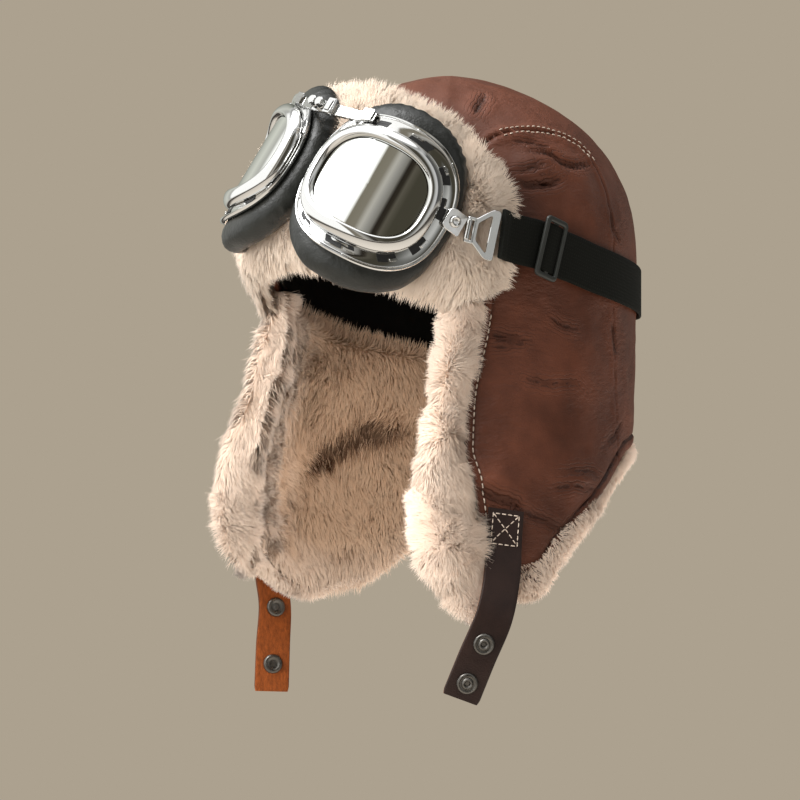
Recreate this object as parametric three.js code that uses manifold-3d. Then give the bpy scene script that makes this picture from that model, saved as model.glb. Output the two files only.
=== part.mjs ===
// Leather flying hat with fur lining, ear flaps, chin straps and chromed goggles on its brim.
// Millimetres. +Z is up, the forehead faces -Y, the wearer's left is +X.
// The origin is the inside of the crown, where the top of a head meets it.
import * as THREE from 'three';
import { mergeVertices } from 'three/addons/utils/BufferGeometryUtils.js';
import Module from 'manifold-3d';

const wasm = await Module();
wasm.setup();

// Crown: an oval plan that closes into a dome.
const HALF_WIDTH = 92;
const FRONT_REACH = 108;
const BACK_REACH = 113;
const CROWN_TOP = 8;
const CROWN_RISE = 103;
const EQUATOR = CROWN_TOP - CROWN_RISE;
const SKIRT_SCALE = 110;
const LEATHER = 2;
const SEAM_GAP = 0.35;

// Ear flaps splay out and forward below the temples, and the nape tucks in.
const FLAP_START = -121;
const TEMPLE = 60;
const SPLAY_OUT = 14;
const SPLAY_FORWARD = 18;
const NAPE_TUCK = 0.05;
const FACE_TOP = -97;
const FACE_DROP = 24;
const FACE_TILT = 9;

// Linings.
const LINING_INSET = 3.4;
const LINING_THICK = 1.4;
const PILE_INSET = 3.1;
const PILE_THICK = 9;
const PILE_OVERHANG = 9;
const PILE_FORWARD = 3.5;
const BRIM_GAP = 2;
const BRIM_THICK = 14.5;

// Straps and press studs.
const CHIN_WIDTH = 20;
const CHIN_THICK = 2;
const STUD_RADIUS = 5.5;
const STUD_SHANK = 2;
const BAND_WIDTH = 26;
const BAND_THICK = 1.6;

// Goggles. An eye's own axes are u outward, v up and w out of the glass, bent to a cylinder.
const GOGGLE_SEAT = new THREE.Vector3(7.8, -134, -45.3);
const GOGGLE_YAW = 6;
const GOGGLE_LEAN = 28;
const GOGGLE_ROLL = 15;
const EYE_OFFSET = 46;
const EYE_BACK = 13;
const EYE_TURN = 32;
const LENS_BEND = 65;
const GLASS_HALF_WIDTH = 30.5;
const GLASS_HALF_HEIGHT = 24.5;
const GLASS_THICK = 1.6;
const PAD_DEPTH = 19;
const FIT_GAP = 0.4;

// Front edge of the flaps, as an angle round the crown at each height.
const FLAP_FRONT = [
  { z: -270, phi: 67 },
  { z: -256, phi: 64 },
  { z: -235, phi: 60 },
  { z: -212, phi: 57.5 },
  { z: -195, phi: 55 },
  { z: -176, phi: 55 },
  { z: -136, phi: 58.5 },
  { z: -121, phi: 60 },
];

// Lower edge of the leather on each side, from the front of the flap to the nape.
const HEM_LEFT = [
  { phi: 60, z: -256 },
  { phi: 65, z: -263 },
  { phi: 71, z: -267 },
  { phi: 76, z: -264 },
  { phi: 85, z: -249 },
  { phi: 99, z: -230 },
  { phi: 109, z: -214 },
  { phi: 121, z: -199 },
  { phi: 150, z: -194 },
  { phi: 180, z: -192 },
];
const HEM_RIGHT = [
  { phi: 60, z: -248 },
  { phi: 67, z: -257 },
  { phi: 76, z: -266 },
  { phi: 88, z: -272 },
  { phi: 100, z: -270 },
  { phi: 110, z: -259 },
  { phi: 121, z: -240 },
  { phi: 136, z: -214 },
  { phi: 152, z: -198 },
  { phi: 180, z: -192 },
];

// Lower edge of the black lining behind the temples.
const LINING_EDGE = [
  { phi: 60, z: -119 },
  { phi: 90, z: -131 },
  { phi: 112, z: -139 },
  { phi: 130, z: -146 },
  { phi: 180, z: -150 },
];

// The roll of pile along the front edge of a flap: where it starts and ends round the crown.
const ROLL_LEFT = [
  { z: -122.6, front: 46, rear: 59, high: 7 },
  { z: -136, front: 44.5, rear: 57.6, high: 9 },
  { z: -154, front: 43.5, rear: 55.8, high: 10 },
  { z: -176, front: 42.5, rear: 54.2, high: 9 },
  { z: -195, front: 41, rear: 54.2, high: 10 },
  { z: -212, front: 39.3, rear: 56.5, high: 11 },
  { z: -233, front: 38.3, rear: 59, high: 10.5 },
  { z: -250, front: 40, rear: 61.8, high: 10 },
  { z: -262, front: 43.5, rear: 62.8, high: 9 },
  { z: -271, front: 48, rear: 66, high: 8 },
  { z: -279, front: 53, rear: 67, high: 6 },
];
const ROLL_RIGHT = [
  { z: -122.6, front: 46, rear: 59, high: 7 },
  { z: -136, front: 44.5, rear: 57.6, high: 9 },
  { z: -154, front: 43, rear: 55.8, high: 10 },
  { z: -176, front: 42, rear: 54.2, high: 9 },
  { z: -195, front: 40.5, rear: 54.2, high: 11 },
  { z: -212, front: 39.3, rear: 56.5, high: 11 },
  { z: -230, front: 40.5, rear: 58.6, high: 10.5 },
  { z: -243, front: 44, rear: 60.5, high: 10 },
  { z: -255, front: 50, rear: 62.2, high: 9 },
  { z: -264, front: 56, rear: 65, high: 7 },
];

// The brim from the middle of the forehead to a temple: its lower and its upper edge.
const BRIM_EDGES = [
  { along: 0, lowPhi: 0, lowZ: -101, highPhi: 0, highZ: -2 },
  { along: 0.2, lowPhi: 10, lowZ: -102, highPhi: 18, highZ: -3 },
  { along: 0.4, lowPhi: 20, lowZ: -105, highPhi: 38, highZ: -8 },
  { along: 0.55, lowPhi: 30, lowZ: -109, highPhi: 51, highZ: -15 },
  { along: 0.7, lowPhi: 39, lowZ: -114, highPhi: 60.5, highZ: -27 },
  { along: 0.8, lowPhi: 44, lowZ: -117, highPhi: 67, highZ: -38 },
  { along: 0.9, lowPhi: 47.5, lowZ: -119.5, highPhi: 71, highZ: -62 },
  { along: 0.96, lowPhi: 49.5, lowZ: -120.4, highPhi: 68.5, highZ: -93 },
  { along: 1, lowPhi: 51, lowZ: -120.4, highPhi: 62.5, highZ: -119 },
];

// Soft buckles of the leather: centre, half lengths along and across, turn and height.
const BUCKLES = [
  { phi: 79, z: -47, along: 17, across: 7, turn: 0, high: 3.2 },
  { phi: 97, z: -62, along: 16, across: 9, turn: 35, high: 2 },
  { phi: 74, z: -30, along: 13, across: 6, turn: 0, high: 1.4 },
  { phi: 46, z: -12, along: 12, across: 9, turn: 60, high: 1.8 },
  { phi: 90, z: -150, along: 26, across: 20, turn: 80, high: 2.2 },
  { phi: 66, z: -214, along: 15, across: 8, turn: -20, high: 2.6 },
  { phi: 96, z: -214, along: 22, across: 9, turn: 25, high: 2.2 },
  { phi: 84, z: -238, along: 18, across: 8, turn: 35, high: 1.8 },
  { phi: -79, z: -47, along: 17, across: 7, turn: 0, high: 2.6 },
  { phi: -94, z: -60, along: 18, across: 9, turn: -30, high: 2.2 },
  { phi: -88, z: -150, along: 26, across: 20, turn: 80, high: 2 },
  { phi: -70, z: -214, along: 15, across: 8, turn: 20, high: 2.2 },
  { phi: -100, z: -222, along: 24, across: 10, turn: -15, high: 2.4 },
  { phi: 178, z: -178, along: 30, across: 8, turn: 0, high: 1.8 },
];

// The band of the goggles over each side of the hat, from its loop to the back.
const BAND_LEFT = [
  { phi: 60, z: -86.5, out: 23 },
  { phi: 62, z: -87, out: 18.2 },
  { phi: 66, z: -88, out: 12.4 },
  { phi: 70, z: -89, out: 9.4 },
  { phi: 74, z: -90, out: 7.6 },
  { phi: 80, z: -93, out: 5.2 },
  { phi: 88, z: -96.5, out: 3 },
  { phi: 100, z: -102, out: 1.6 },
  { phi: 124, z: -109, out: 1.2 },
  { phi: 150, z: -113, out: 1.2 },
  { phi: 180, z: -113, out: 1.2 },
];
const BAND_RIGHT = [
  { phi: 50, z: -52, out: 7.6 },
  { phi: 60, z: -56.5, out: 7.4 },
  { phi: 68, z: -61.5, out: 6.8 },
  { phi: 76, z: -67.5, out: 5 },
  { phi: 88, z: -77.5, out: 2.6 },
  { phi: 100, z: -87, out: 1.6 },
  { phi: 124, z: -101, out: 1.2 },
  { phi: 150, z: -110.5, out: 1.2 },
  { phi: 180, z: -113, out: 1.2 },
];

// The chin straps: points down the middle of each and the way its outer face looks.
const CHIN_LEFT = [
  { x: 101.1, y: -59, z: -228, facing: 66 },
  { x: 102.4, y: -62, z: -243, facing: 65 },
  { x: 106.6, y: -67.4, z: -262, facing: 64 },
  { x: 109.5, y: -76, z: -282, facing: 62 },
  { x: 104, y: -83, z: -303, facing: 60 },
  { x: 97, y: -88, z: -324, facing: 58 },
];
const CHIN_RIGHT = [
  { x: -104, y: -47.5, z: -236, facing: -74 },
  { x: -105.8, y: -45.6, z: -252, facing: -78 },
  { x: -109, y: -40.8, z: -270, facing: -90 },
  { x: -107, y: -38, z: -288, facing: -106 },
  { x: -105, y: -41, z: -312, facing: -118 },
  { x: -104, y: -43, z: -338, facing: -122 },
];
const STUDS_LEFT = [0.73, 0.92];
const STUDS_RIGHT = [0.62, 0.88];

// Sections of the rings of one eye: half width, half height, outward shift and depth.
const BEZEL_SECTION = [
  { a: 30.5, b: 24.5, shift: 0, w: -1.4 },
  { a: 37.5, b: 31.5, shift: 0, w: -1.4 },
  { a: 37.2, b: 31.2, shift: 0, w: 2.4 },
  { a: 34.2, b: 28.2, shift: 0, w: 4.8 },
  { a: 30.6, b: 24.6, shift: 0, w: 3.4 },
  { a: 29.8, b: 23.8, shift: 0, w: 1.3 },
];
const FRAME_SECTION = [
  { a: 31.2, b: 25.2, shift: 0, w: -3.4 },
  { a: 43.6, b: 39.6, shift: 3.5, w: -3.4 },
  { a: 43.6, b: 39.6, shift: 3.5, w: -0.4 },
  { a: 42, b: 38, shift: 3.2, w: -0.4 },
  { a: 41.4, b: 37.4, shift: 3, w: -1.8 },
  { a: 31.2, b: 25.2, shift: 0, w: -1.8 },
];
const PAD_SECTION = [
  { a: 32, b: 26, shift: 0, w: -4.1 },
  { a: 43, b: 39, shift: 3.5, w: -4.1 },
  { a: 50.5, b: 47.5, shift: 3, w: -6.5 },
  { a: 54, b: 51, shift: 3, w: -12 },
  { a: 51.5, b: 48.5, shift: 3, w: -PAD_DEPTH },
  { a: 38, b: 33, shift: 1, w: -PAD_DEPTH },
];
const TAB_HEIGHT = 7;
const VENTS = [35, 215, 250, 290, 328];

const rad = Math.PI / 180;

function smooth(t) {
  const s = Math.min(1, Math.max(0, t));
  return s * s * (3 - 2 * s);
}

// Reads a column of a table at x, with a curve through the rows that never overshoots them.
function look(table, key, column, x) {
  const last = table.length - 1;
  if (x <= table[0][key]) return table[0][column];
  if (x >= table[last][key]) return table[last][column];
  let k = 0;
  while (table[k + 1][key] < x) k += 1;
  const slope = (i) => (table[i + 1][column] - table[i][column]) / (table[i + 1][key] - table[i][key]);
  const tangent = (i) => {
    if (i === 0) return slope(0);
    if (i === last) return slope(last - 1);
    const before = slope(i - 1);
    const after = slope(i);
    return before * after <= 0 ? 0 : 2 * before * after / (before + after);
  };
  const width = table[k + 1][key] - table[k][key];
  const t = (x - table[k][key]) / width;
  const rise = table[k + 1][column] - table[k][column];
  const blend = t * t * (3 - 2 * t) * rise;
  const start = (t ** 3 - 2 * t * t + t) * tangent(k) * width;
  const end = (t ** 3 - t * t) * tangent(k + 1) * width;
  return table[k][column] + blend + start + end;
}

// How far out of the middle the crown is at a height, as a share of its plan.
function reach(phi, z) {
  const power = 1.8 + 0.15 * Math.cos(phi * rad);
  const round = 0.45 + 0.05 * Math.cos(phi * rad);
  const s = Math.min(1, Math.max(0, (CROWN_TOP - z) / CROWN_RISE));
  return Math.max(0, 1 - (1 - s) ** (1 / round)) ** (1 / power);
}

function domeHeight(phi, rho) {
  const power = 1.8 + 0.15 * Math.cos(phi * rad);
  const round = 0.45 + 0.05 * Math.cos(phi * rad);
  return CROWN_TOP - CROWN_RISE * (1 - Math.max(0, 1 - rho ** power) ** round);
}

// The way down the crown: 0 at the top, 1 at the equator, more than 1 on the skirt.
function wayDown(phi, z) {
  if (z <= EQUATOR) return 1 + (EQUATOR - z) / SKIRT_SCALE;
  return Math.asin(Math.min(1, reach(phi, z))) * 2 / Math.PI;
}

function skin(phi, q) {
  const rho = q < 1 ? Math.sin(q * Math.PI / 2) : 1;
  const z = q < 1 ? domeHeight(phi, rho) : EQUATOR - (q - 1) * SKIRT_SCALE;
  const away = Math.abs(phi > 180 ? phi - 360 : phi);
  const side = (phi > 180 ? phi - 360 : phi) < 0 ? -1 : 1;
  const drop = smooth((FLAP_START - z) / 115);
  const splay = drop * (1 - smooth((away - 75) / 65));
  const tuck = 1 - NAPE_TUCK * smooth((FLAP_START - z) / 120) * smooth((away - 110) / 40);
  const depth = Math.cos(phi * rad) > 0 ? FRONT_REACH : BACK_REACH;
  const x = HALF_WIDTH * rho * tuck * Math.sin(phi * rad) + side * SPLAY_OUT * splay;
  const y = -depth * rho * tuck * Math.cos(phi * rad) - SPLAY_FORWARD * splay;
  return new THREE.Vector3(x, y, z);
}

function outward(phi, q) {
  if (q < 0.002) return new THREE.Vector3(0, 0, 1);
  const round = skin(phi + 0.05, q).sub(skin(phi - 0.05, q));
  const down = skin(phi, q + 0.001).sub(skin(phi, q - 0.001));
  return down.cross(round).normalize();
}

function buckle(phi, z) {
  let high = 0;
  for (const row of BUCKLES) {
    const turn = row.turn * rad;
    let angle = phi - row.phi;
    if (angle > 180) angle -= 360;
    if (angle < -180) angle += 360;
    const across = angle * rad * 98;
    const up = z - row.z;
    const a = (across * Math.cos(turn) + up * Math.sin(turn)) / row.along;
    const b = (up * Math.cos(turn) - across * Math.sin(turn)) / row.across;
    high += row.high * Math.exp(-a * a - b * b);
  }
  return high;
}

// A point of the hat at an angle, a height and a distance out of the leather's plain surface.
function at(phi, z, out) {
  const q = wayDown(phi, z);
  return skin(phi, q).addScaledVector(outward(phi, q), out);
}

function faceEdge(phi) {
  const share = Math.min(1, Math.abs(phi) / TEMPLE);
  const tilt = FACE_TILT * Math.sin(phi * rad) * (1 - share * share);
  return FACE_TOP - FACE_DROP * share ** 3 - tilt;
}

// Columns of the skirt lean with the front edge of the flap.
function leaned(column, z) {
  if (z >= FLAP_START) return column;
  const side = column < 0 ? -1 : 1;
  const away = Math.abs(column);
  const lean = look(FLAP_FRONT, 'z', 'phi', z) - TEMPLE;
  return side * (away + lean * (1 - smooth((away - TEMPLE) / 60)));
}

function hem(column) {
  return look(column < 0 ? HEM_RIGHT : HEM_LEFT, 'phi', 'z', Math.abs(column));
}

function geometryOf(vertices, triangles) {
  const geometry = new THREE.BufferGeometry();
  const flat = new Float32Array(vertices.flatMap((v) => [v.x, v.y, v.z]));
  geometry.setAttribute('position', new THREE.BufferAttribute(flat, 3));
  let volume = 0;
  const cross = new THREE.Vector3();
  for (const [a, b, c] of triangles) {
    volume += vertices[a].dot(cross.crossVectors(vertices[b], vertices[c]));
  }
  const turned = volume < 0 ? triangles.map(([a, b, c]) => [a, c, b]) : triangles;
  geometry.setIndex(turned.flat());
  return geometry;
}

function solidOf(geometry) {
  const bare = geometry.clone();
  for (const name of Object.keys(bare.attributes)) {
    if (name !== 'position') bare.deleteAttribute(name);
  }
  const merged = mergeVertices(bare, 1e-4);
  return new wasm.Manifold(new wasm.Mesh({
    numProp: 3,
    vertProperties: new Float32Array(merged.attributes.position.array),
    triVerts: new Uint32Array(merged.index.array),
  }));
}

function geometryFrom(solid) {
  const mesh = solid.getMesh();
  const geometry = new THREE.BufferGeometry();
  geometry.setAttribute('position', new THREE.BufferAttribute(new Float32Array(mesh.vertProperties), 3));
  geometry.setIndex([...mesh.triVerts]);
  return geometry;
}

// A wall between two surfaces over a grid of cells, of which only the active ones are built.
function wall(columns, rows, wraps, active, outer, inner, pole) {
  const wide = wraps ? columns : columns + 1;
  const vertices = [];
  const index = new Map();
  const vertex = (layer, i, j) => {
    const column = pole && i === 0 ? 0 : j % wide;
    const key = (layer * (rows + 1) + i) * wide + column;
    if (!index.has(key)) {
      index.set(key, vertices.length);
      vertices.push(layer === 0 ? outer(i, column) : inner(i, column));
    }
    return index.get(key);
  };
  const triangles = [];
  const add = (a, b, c) => {
    if (a !== b && b !== c && a !== c) triangles.push([a, b, c]);
  };
  const built = (i, j) => {
    if (i < 0 || i >= rows) return false;
    if (!wraps && (j < 0 || j >= columns)) return false;
    return active(i, (j + columns) % columns);
  };
  for (let i = 0; i < rows; i += 1) {
    for (let j = 0; j < columns; j += 1) {
      if (!built(i, j)) continue;
      const corners = [[i, j], [i + 1, j], [i + 1, j + 1], [i, j + 1]];
      const beyond = [[i, j - 1], [i + 1, j], [i, j + 1], [i - 1, j]];
      const out = corners.map(([r, c]) => vertex(0, r, c));
      const back = corners.map(([r, c]) => vertex(1, r, c));
      add(out[0], out[1], out[2]);
      add(out[0], out[2], out[3]);
      add(back[0], back[2], back[1]);
      add(back[0], back[3], back[2]);
      for (let k = 0; k < 4; k += 1) {
        if (built(beyond[k][0], beyond[k][1])) continue;
        const n = (k + 1) % 4;
        if (out[k] === out[n]) continue;
        add(out[n], out[k], back[k]);
        add(out[n], back[k], back[n]);
      }
    }
  }
  return geometryOf(vertices, triangles);
}

// A body through closed rings of points, with flat ends.
function loft(rings) {
  const size = rings[0].length;
  const vertices = rings.flat();
  const triangles = [];
  for (let i = 0; i + 1 < rings.length; i += 1) {
    for (let j = 0; j < size; j += 1) {
      const n = (j + 1) % size;
      triangles.push([i * size + j, i * size + n, (i + 1) * size + n]);
      triangles.push([i * size + j, (i + 1) * size + n, (i + 1) * size + j]);
    }
  }
  const end = (rings.length - 1) * size;
  for (let j = 1; j + 1 < size; j += 1) {
    triangles.push([0, j + 1, j]);
    triangles.push([end, end + j, end + j + 1]);
  }
  return geometryOf(vertices, triangles);
}

// A ring body: sections that each close on themselves, joined all the way round.
function ring(sections) {
  const size = sections[0].length;
  const vertices = sections.flat();
  const triangles = [];
  for (let i = 0; i < sections.length; i += 1) {
    const next = (i + 1) % sections.length;
    for (let j = 0; j < size; j += 1) {
      const n = (j + 1) % size;
      triangles.push([i * size + j, i * size + n, next * size + n]);
      triangles.push([i * size + j, next * size + n, next * size + j]);
    }
  }
  return geometryOf(vertices, triangles);
}

// A lock of fur: a three-sided strip that bends and ends in a point.
function lock(root, middle, tip, side, width) {
  const along = tip.clone().sub(root).normalize();
  const rise = new THREE.Vector3().crossVectors(along, side).normalize();
  const section = (centre, share) => [
    centre.clone().addScaledVector(side, width * share),
    centre.clone().addScaledVector(side, -width * share),
    centre.clone().addScaledVector(rise, width * share),
  ];
  const vertices = [...section(root, 0.5), ...section(middle, 0.36), tip];
  const triangles = [[0, 2, 1], [3, 4, 6], [4, 5, 6], [5, 3, 6]];
  for (let j = 0; j < 3; j += 1) {
    const n = (j + 1) % 3;
    triangles.push([j, n, n + 3], [j, n + 3, j + 3]);
  }
  return solidOf(geometryOf(vertices, triangles));
}

// The leather shell: a cap down to the face edge, and a skirt with the flaps behind the temples.
const FRONT_COLUMNS = 12;
const REAR_COLUMNS = 30;
const CAP_ROWS = 8;
const SKIRT_ROWS = 6;

function columnAngle(j, front, rear) {
  if (j <= front) return -TEMPLE + 2 * TEMPLE * j / front;
  const angle = TEMPLE + (360 - 2 * TEMPLE) * (j - front) / rear;
  return angle > 180 ? angle - 360 : angle;
}

function shellPoint(i, column, out) {
  if (i <= CAP_ROWS) {
    const edge = Math.abs(column) <= TEMPLE ? faceEdge(column) : FLAP_START;
    const q = wayDown(column, edge) * i / CAP_ROWS;
    const z = skin(column, q).z;
    return skin(column, q).addScaledVector(outward(column, q), buckle(column, z) + out);
  }
  const z = FLAP_START + (hem(column) - FLAP_START) * (i - CAP_ROWS) / SKIRT_ROWS;
  const phi = leaned(column, z);
  return at(phi, z, buckle(phi, z) + out);
}

function shell(outerOut, innerOut) {
  const columns = FRONT_COLUMNS + REAR_COLUMNS;
  const angle = (j) => columnAngle(j, FRONT_COLUMNS, REAR_COLUMNS);
  const active = (i, j) => i < CAP_ROWS || j >= FRONT_COLUMNS;
  const outer = (i, j) => shellPoint(i, angle(j), outerOut);
  const inner = (i, j) => shellPoint(i, angle(j), innerOut);
  return solidOf(wall(columns, CAP_ROWS + SKIRT_ROWS, true, active, outer, inner, true));
}

// Plan of a side panel: the top seam runs fore and aft and turns down at the back.
function sidePrism(side, grow) {
  const outline = [
    [67 - grow, -140], [67 - grow, -34], [69 - grow, -12], [70 - grow, 10], [71 - grow, 24],
    [73 - grow, 31 + grow], [77.5 - grow, 35.5 + grow], [86, 38 + grow], [140, 44 + grow], [140, -140],
  ];
  const shape = new THREE.Shape(outline.map(([x, y]) => new THREE.Vector2(side * x, y)));
  const prism = new THREE.ExtrudeGeometry(shape, { depth: 360, bevelEnabled: false });
  prism.translate(0, 0, -340);
  return solidOf(prism);
}

const leather = shell(0, -LEATHER);
const crownSideLeft = leather.intersect(sidePrism(1, 0));
const crownSideRight = leather.intersect(sidePrism(-1, 0));
const crownCenter = leather.subtract(sidePrism(1, SEAM_GAP)).subtract(sidePrism(-1, SEAM_GAP));

// The black lining under the whole crown.
function liningEdge(column) {
  const away = Math.abs(column);
  if (away <= TEMPLE) return faceEdge(column) + 2;
  return look(LINING_EDGE, 'phi', 'z', away);
}

function liningGeometry() {
  const front = 8;
  const rear = 16;
  const rows = 6;
  const point = (i, j, out) => {
    const column = columnAngle(j, front, rear);
    const q = wayDown(column, liningEdge(column)) * i / rows;
    return skin(column, q).addScaledVector(outward(column, q), out);
  };
  const outer = (i, j) => point(i, j, -LINING_INSET);
  const inner = (i, j) => point(i, j, -LINING_INSET - LINING_THICK);
  return wall(front + rear, rows, true, () => true, outer, inner, true);
}

// The pile lining of flaps and nape, with a roll along each front edge and locks at its hems.
function pileSheet() {
  const columns = 22;
  const rows = 6;
  const angle = (j) => {
    const start = TEMPLE - PILE_FORWARD;
    const a = start + (360 - 2 * start) * j / columns;
    return a > 180 ? a - 360 : a;
  };
  const point = (i, j, inner) => {
    const column = angle(j);
    const away = Math.max(TEMPLE, Math.abs(column));
    const top = look(LINING_EDGE, 'phi', 'z', away) - 1.5 - (away - TEMPLE < 1 ? 2 : 0);
    const low = hem(column < 0 ? -away : away) - PILE_OVERHANG;
    const z = top + (low - top) * i / rows;
    const thick = 3 + (PILE_THICK - 3) * smooth((top - z) / 28) * (i === rows ? 0.7 : 1);
    return at(leaned(column, z), z, -PILE_INSET - (inner ? thick : 0));
  };
  const outer = (i, j) => point(i, j, false);
  const inner = (i, j) => point(i, j, true);
  return solidOf(wall(columns, rows, false, () => true, outer, inner, false));
}

function pileRoll(side, table) {
  const rings = table.map((row) => {
    const points = [];
    for (let k = 0; k < 8; k += 1) {
      const turn = (k + 0.5) * Math.PI / 4;
      const phi = (row.front + row.rear) / 2 + (row.rear - row.front) / 2 / 0.924 * Math.cos(turn);
      points.push(at(side * phi, row.z, row.high * Math.sin(turn) - 1));
    }
    return points;
  });
  return solidOf(loft(rings));
}

// A lock on the hat's surface, from one angle, height and distance out to another.
function surfaceLock(from, to, width) {
  const root = at(from.phi, from.z, from.out);
  const tip = at(to.phi, to.z, to.out);
  const out = outward(from.phi, wayDown(from.phi, from.z));
  const side = new THREE.Vector3().crossVectors(tip.clone().sub(root), out).normalize();
  const middle = root.clone().lerp(tip, 0.55).addScaledVector(out, width * 0.16);
  return lock(root, middle, tip, side, width);
}

function pileLocks(side, table) {
  const locks = [];
  for (let k = 0; k < 6; k += 1) {
    const z = -136 - 22 * k;
    const front = look([...table].reverse(), 'z', 'front', z);
    const rear = look([...table].reverse(), 'z', 'rear', z);
    const wave = Math.sin(k * 2.4);
    const from = { phi: side * (front + 2.2), z: z + 3, out: 1 };
    const to = { phi: side * (front - 2.2 - wave), z: z - 9, out: 1 + wave };
    locks.push(surfaceLock(from, to, 9));
    const high = look([...table].reverse(), 'z', 'high', z);
    if (k % 2 === 0) {
      const crest = { phi: side * (front * 0.42 + rear * 0.58), z: z + 4, out: high - 3.4 };
      const end = { phi: side * (front * 0.3 + rear * 0.7), z: z - 8 - wave, out: high + 0.8 };
      locks.push(surfaceLock(crest, end, 7));
    }
  }
  return locks;
}

function hemLocks() {
  const locks = [];
  for (let k = 0; k < 12; k += 1) {
    const column = k < 6 ? 68 + k * 20 : -(68 + (k - 6) * 20);
    const low = hem(column) - PILE_OVERHANG;
    const wave = Math.sin(k * 1.9);
    const phi = leaned(column, low);
    const from = { phi, z: low + 5, out: -6.5 };
    const to = { phi: phi - 1.5 * wave, z: low - 5 - 1.5 * wave, out: -3 + wave };
    locks.push(surfaceLock(from, to, 11));
  }
  return locks;
}

let furLining = pileSheet();
furLining = furLining.add(pileRoll(1, ROLL_LEFT)).add(pileRoll(-1, ROLL_RIGHT));
for (const piece of [...pileLocks(1, ROLL_LEFT), ...pileLocks(-1, ROLL_RIGHT), ...hemLocks()]) {
  furLining = furLining.add(piece);
}

// The turned-up brim: a pad of pile over the forehead, thickest along its middle.
function brimPlace(along, across) {
  const side = along < 0 ? -1 : 1;
  const a = Math.abs(along);
  const lowPhi = side * look(BRIM_EDGES, 'along', 'lowPhi', a);
  const highPhi = side * look(BRIM_EDGES, 'along', 'highPhi', a);
  const tilt = 0.5 * FACE_TILT * Math.sin(lowPhi * rad) * (1 - a * a);
  const low = wayDown(lowPhi, look(BRIM_EDGES, 'along', 'lowZ', a) - tilt);
  const high = wayDown(highPhi, look(BRIM_EDGES, 'along', 'highZ', a));
  const phi = lowPhi + (highPhi - lowPhi) * across;
  const q = low + (high - low) * across;
  return { phi, q };
}

function brimThickness(along, across) {
  const edge = Math.max(0, 1 - Math.abs(2 * across - 1) ** 2.6) ** 0.5;
  const end = 0.62 + 0.38 * (1 - Math.abs(along) ** 4);
  return 2.2 + BRIM_THICK * edge * end;
}

function brimPoint(along, across, out) {
  const { phi, q } = brimPlace(along, across);
  const lift = 1.5 * buckle(phi, skin(phi, q).z);
  return skin(phi, q).addScaledVector(outward(phi, q), BRIM_GAP + lift + out);
}

function brimSolid() {
  const columns = 22;
  const rows = 6;
  const across = (i) => 1 - i / rows;
  const along = (j) => {
    const t = 2 * j / columns - 1;
    return Math.sign(t) * (1 - (1 - Math.abs(t)) ** 1.5);
  };
  const outer = (i, j) => brimPoint(along(j), across(i), brimThickness(along(j), across(i)));
  const inner = (i, j) => brimPoint(along(j), across(i), 0);
  return solidOf(wall(columns, rows, false, () => true, outer, inner, false));
}

function brimLocks() {
  const locks = [];
  const count = 9;
  for (let k = 0; k < count; k += 1) {
    const along = (2 * (k + 0.5) / count - 1) * 0.97;
    const wave = Math.sin(k * 2.3);
    for (const edge of Math.abs(along) > 0.9 ? [1] : [0, 1]) {
      const into = edge === 0 ? 0.06 : 0.93;
      const beyond = edge === 0 ? -0.06 - 0.012 * wave : 1.07 + 0.015 * wave;
      const thick = brimThickness(along, into);
      const root = brimPoint(along, into, thick * 0.5);
      const tip = brimPoint(along + 0.012 * wave, beyond, edge === 0 ? 5 : 4.6 + wave * 0.5);
      const { phi, q } = brimPlace(along, into);
      const out = outward(phi, q);
      const side = new THREE.Vector3().crossVectors(tip.clone().sub(root), out).normalize();
      const middle = root.clone().lerp(tip, 0.5).addScaledVector(out, 1.2);
      locks.push(lock(root, middle, tip, side, 14));
    }
  }
  return locks;
}

// Goggles: from an eye's own axes to the hat.
const goggleTurn = new THREE.Matrix4()
  .makeRotationZ(GOGGLE_YAW * rad)
  .multiply(new THREE.Matrix4().makeTranslation(GOGGLE_SEAT))
  .multiply(new THREE.Matrix4().makeRotationX(-GOGGLE_LEAN * rad))
  .multiply(new THREE.Matrix4().makeRotationY(GOGGLE_ROLL * rad));

function eyePoint(side, u, v, w) {
  const bend = u / LENS_BEND;
  const out = (LENS_BEND + w) * Math.sin(bend);
  const back = (LENS_BEND + w) * Math.cos(bend) - LENS_BEND;
  const turn = EYE_TURN * rad;
  const x = side * (EYE_OFFSET + out * Math.cos(turn) + back * Math.sin(turn));
  const y = EYE_BACK + out * Math.sin(turn) - back * Math.cos(turn);
  return new THREE.Vector3(x, y, v).applyMatrix4(goggleTurn);
}

// The outline of a glass and of the rings round it: an oval with full corners.
function oval(a, b, turn) {
  const full = 2 / (2 + 0.6 * GLASS_HALF_WIDTH / a);
  const c = Math.cos(turn);
  const s = Math.sin(turn);
  return [a * Math.sign(c) * Math.abs(c) ** full, b * Math.sign(s) * Math.abs(s) ** full];
}

function eyeRing(side, section, steps, grow) {
  const sections = [];
  for (let k = 0; k < steps; k += 1) {
    const turn = 2 * Math.PI * (k + 0.5) / steps;
    sections.push(section.map((row) => {
      const [u, v] = oval(row.a + grow, row.b + grow, turn);
      return eyePoint(side, u + row.shift, v, row.w);
    }));
  }
  return solidOf(ring(sections));
}

// A filled body over the outline of a ring, from one depth to another.
function eyePlug(side, rows, steps) {
  const rings = rows.map((row) => {
    const points = [];
    for (let k = 0; k < steps; k += 1) {
      const [u, v] = oval(row.a, row.b, 2 * Math.PI * (k + 0.5) / steps);
      points.push(eyePoint(side, u + row.shift, v, row.w));
    }
    return points;
  });
  return solidOf(loft(rings));
}

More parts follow.
